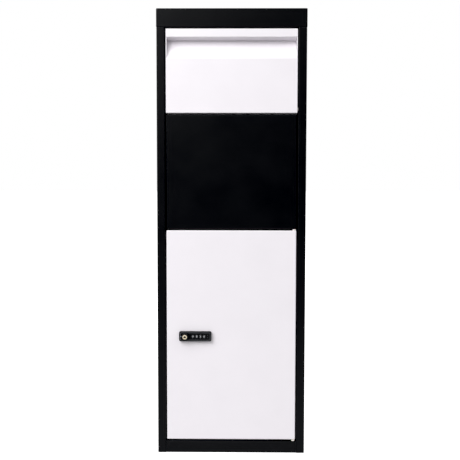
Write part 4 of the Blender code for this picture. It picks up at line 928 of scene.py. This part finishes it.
class LOCKER_OT_hole_plugs(bpy.types.Operator):
    """Closes the wall holes and the anchor holes with pushed-in rubber plugs"""

    bl_idname = "locker.hole_plugs"
    bl_label = "Hole plugs"

    def execute(self, context):
        rubber = material_named("moulded_rubber")
        shape = bmesh.new()
        for x in (-WALL_HOLE_X, WALL_HOLE_X):
            for z in (WALL_HOLE_END, CAP[1][2] - WALL_HOLE_END):
                def from_inside(u, v, out, x=x, z=z):
                    return (x + u, BACK[1][1] - SHEET - out, z + v)

                add_turned(shape, self.section(WALL_PLUG_RADIUS, PLUG_DEPTH), from_inside)
        finish_piece("wall_hole_plugs", shape, rubber, "cabinet")
        shape = bmesh.new()
        for x in (-ANCHOR_HOLE_X, ANCHOR_HOLE_X):
            for y in (-ANCHOR_HOLE_Y, ANCHOR_HOLE_Y):
                def from_above(u, v, out, x=x, y=y):
                    return (x + u, y + v, SHEET + out)

                add_turned(shape, self.section(ANCHOR_PLUG_RADIUS, PLUG_DEPTH), from_above)
        finish_piece("anchor_hole_plugs", shape, rubber, "cabinet")
        return {"FINISHED"}

    @staticmethod
    def section(radius, depth):
        """A plug's section: a stem that fills the hole and a domed brim on the sheet's inner face."""
        brim = radius + 3 * MM
        return [
            (0, -depth), (radius, -depth), (radius, 0.05 * MM), (brim, 0.05 * MM), (brim, 0.6 * MM),
            (brim - 0.8 * MM, 1.3 * MM), (radius * 0.55, 1.6 * MM), (radius * 0.5, 1.1 * MM), (0, 1.0 * MM),
        ]


class LOCKER_OT_stage(bpy.types.Operator):
    """Lays the pale floor and sets the soft lights and the camera"""

    bl_idname = "locker.stage"
    bl_label = "Floor, lights and camera"

    def execute(self, context):
        scene, studio = context.scene, context.scene.locker_studio
        shape = bmesh.new()
        bmesh.ops.create_circle(shape, cap_ends=True, segments=96, radius=studio.floor_radius)
        mesh = bpy.data.meshes.new("studio_floor")
        shape.to_mesh(mesh)
        shape.free()
        mesh.materials.append(lit_acrylic(
            "lit_white_acrylic", studio.floor_paint, studio.floor_glow, studio.floor_bounce,
            studio.table_radius,
        ))
        floor = bpy.data.objects.new("studio_floor", mesh)
        scene.collection.objects.link(floor)
        self.lamps(scene, studio)
        self.surround(scene, studio)
        self.camera(scene, studio)
        # The camera's own black, below which nothing in a dark gap shows.
        scene.view_settings.view_transform = "Standard"
        scene.view_settings.use_curve_mapping = True
        scene.view_settings.curve_mapping.black_level = (studio.black_level,) * 3
        scene.view_settings.curve_mapping.update()
        return {"FINISHED"}

    @staticmethod
    def camera(scene, studio):
        """A camera that looks at the front from a little above its middle."""
        camera = bpy.data.objects.new("camera", bpy.data.cameras.new("camera"))
        camera.data.lens = studio.focal_length
        camera.data.sensor_width = studio.sensor_width
        camera.location = studio.camera_place
        camera.rotation_euler = (
            math.radians(90 - studio.camera_down), math.radians(-studio.camera_roll),
            math.radians(studio.camera_turn),
        )
        scene.collection.objects.link(camera)
        scene.camera = camera

    @staticmethod
    def lamps(scene, studio):
        """A soft disc of light from the upper left, and a broad light from the front and above."""
        key = bpy.data.lights.new("soft_key", "AREA")
        key.energy = studio.key_strength
        key.shape = "DISK"
        key.size = studio.key_width
        sun = bpy.data.lights.new("broad_front", "SUN")
        sun.energy = studio.sun_strength
        sun.angle = math.radians(studio.sun_spread)
        for light, place in ((key, studio.key_place), (sun, studio.sun_place)):
            lamp = bpy.data.objects.new(light.name, light)
            lamp.location = place
            lamp.rotation_mode = "QUATERNION"
            lamp.rotation_quaternion = (studio.lamp_aim - place).to_track_quat("-Z", "Y")
            scene.collection.objects.link(lamp)

    @staticmethod
    def surround(scene, studio):
        """An even white surround, which lights the locker softly.

        Its reflection is faint from the front and stronger from the sides and the back, as between dark
        flags beside the camera and white walls behind the locker.
        """
        world = bpy.data.worlds.new("studio_surround")
        world.use_nodes = True
        tree = world.node_tree
        tree.nodes.clear()
        rays = add(tree, "ShaderNodeLightPath", None)
        seen, glossy = rays.outputs["Is Camera Ray"], rays.outputs["Is Glossy Ray"]
        towards = add(tree, "ShaderNodeTexCoord", "Generated")
        behind = add(tree, "ShaderNodeSeparateXYZ", "Y", links={"Vector": towards})
        strength = between(-0.7, 0.3, studio.front_glint, studio.rear_glint)
        strength = add(tree, "ShaderNodeMapRange", "Result", strength, {"Value": behind})
        soft = {"Color": WHITE, "Strength": studio.fill_strength}
        soft = add(tree, "ShaderNodeBackground", 0, soft)
        glint = add(tree, "ShaderNodeBackground", 0, {"Color": WHITE}, {"Strength": strength})
        plain = add(tree, "ShaderNodeBackground", 0, {"Color": WHITE, "Strength": 1.0})
        lit = add(tree, "ShaderNodeMixShader", 0, links={0: glossy, 1: soft, 2: glint})
        whole = add(tree, "ShaderNodeMixShader", 0, links={0: seen, 1: lit, 2: plain})
        add(tree, "ShaderNodeOutputWorld", None, links={"Surface": whole})
        scene.world = world


OPERATORS = (
    LOCKER_OT_powder_coats,
    LOCKER_OT_metals,
    LOCKER_OT_mouldings,
    LOCKER_OT_dial_numbers,
    LOCKER_OT_lock_face,
    LOCKER_OT_knob_grip,
    LOCKER_OT_hole_plugs,
    LOCKER_OT_stage,
)


class LOCKER_PT_pieces(bpy.types.Panel):
    """The locker's pieces, finishes and studio"""

    bl_idname = "LOCKER_PT_pieces"
    bl_label = "Parcel locker"
    bl_space_type = "VIEW_3D"
    bl_region_type = "UI"
    bl_category = "Locker"

    def draw(self, context):
        for operator in OPERATORS:
            self.layout.operator(operator.bl_idname)
        for group, held in GROUPS.items():
            for name in group.__annotations__:
                self.layout.prop(getattr(context.scene, held), name)


GROUPS = {LockerFinishes: "locker_finishes", LockerMarks: "locker_marks", LockerStudio: "locker_studio"}


def register():
    for group, name in GROUPS.items():
        bpy.utils.register_class(group)
        setattr(bpy.types.Scene, name, bpy.props.PointerProperty(type=group))
    for operator in OPERATORS:
        bpy.utils.register_class(operator)
    bpy.utils.register_class(LOCKER_PT_pieces)


def unregister():
    bpy.utils.unregister_class(LOCKER_PT_pieces)
    for operator in reversed(OPERATORS):
        bpy.utils.unregister_class(operator)
    for group, name in GROUPS.items():
        delattr(bpy.types.Scene, name)
        bpy.utils.unregister_class(group)


def main():
    register()
    for operator in OPERATORS:
        group, name = operator.bl_idname.split(".")
        getattr(getattr(bpy.ops, group), name)()


if __name__ == "__main__":
    main()
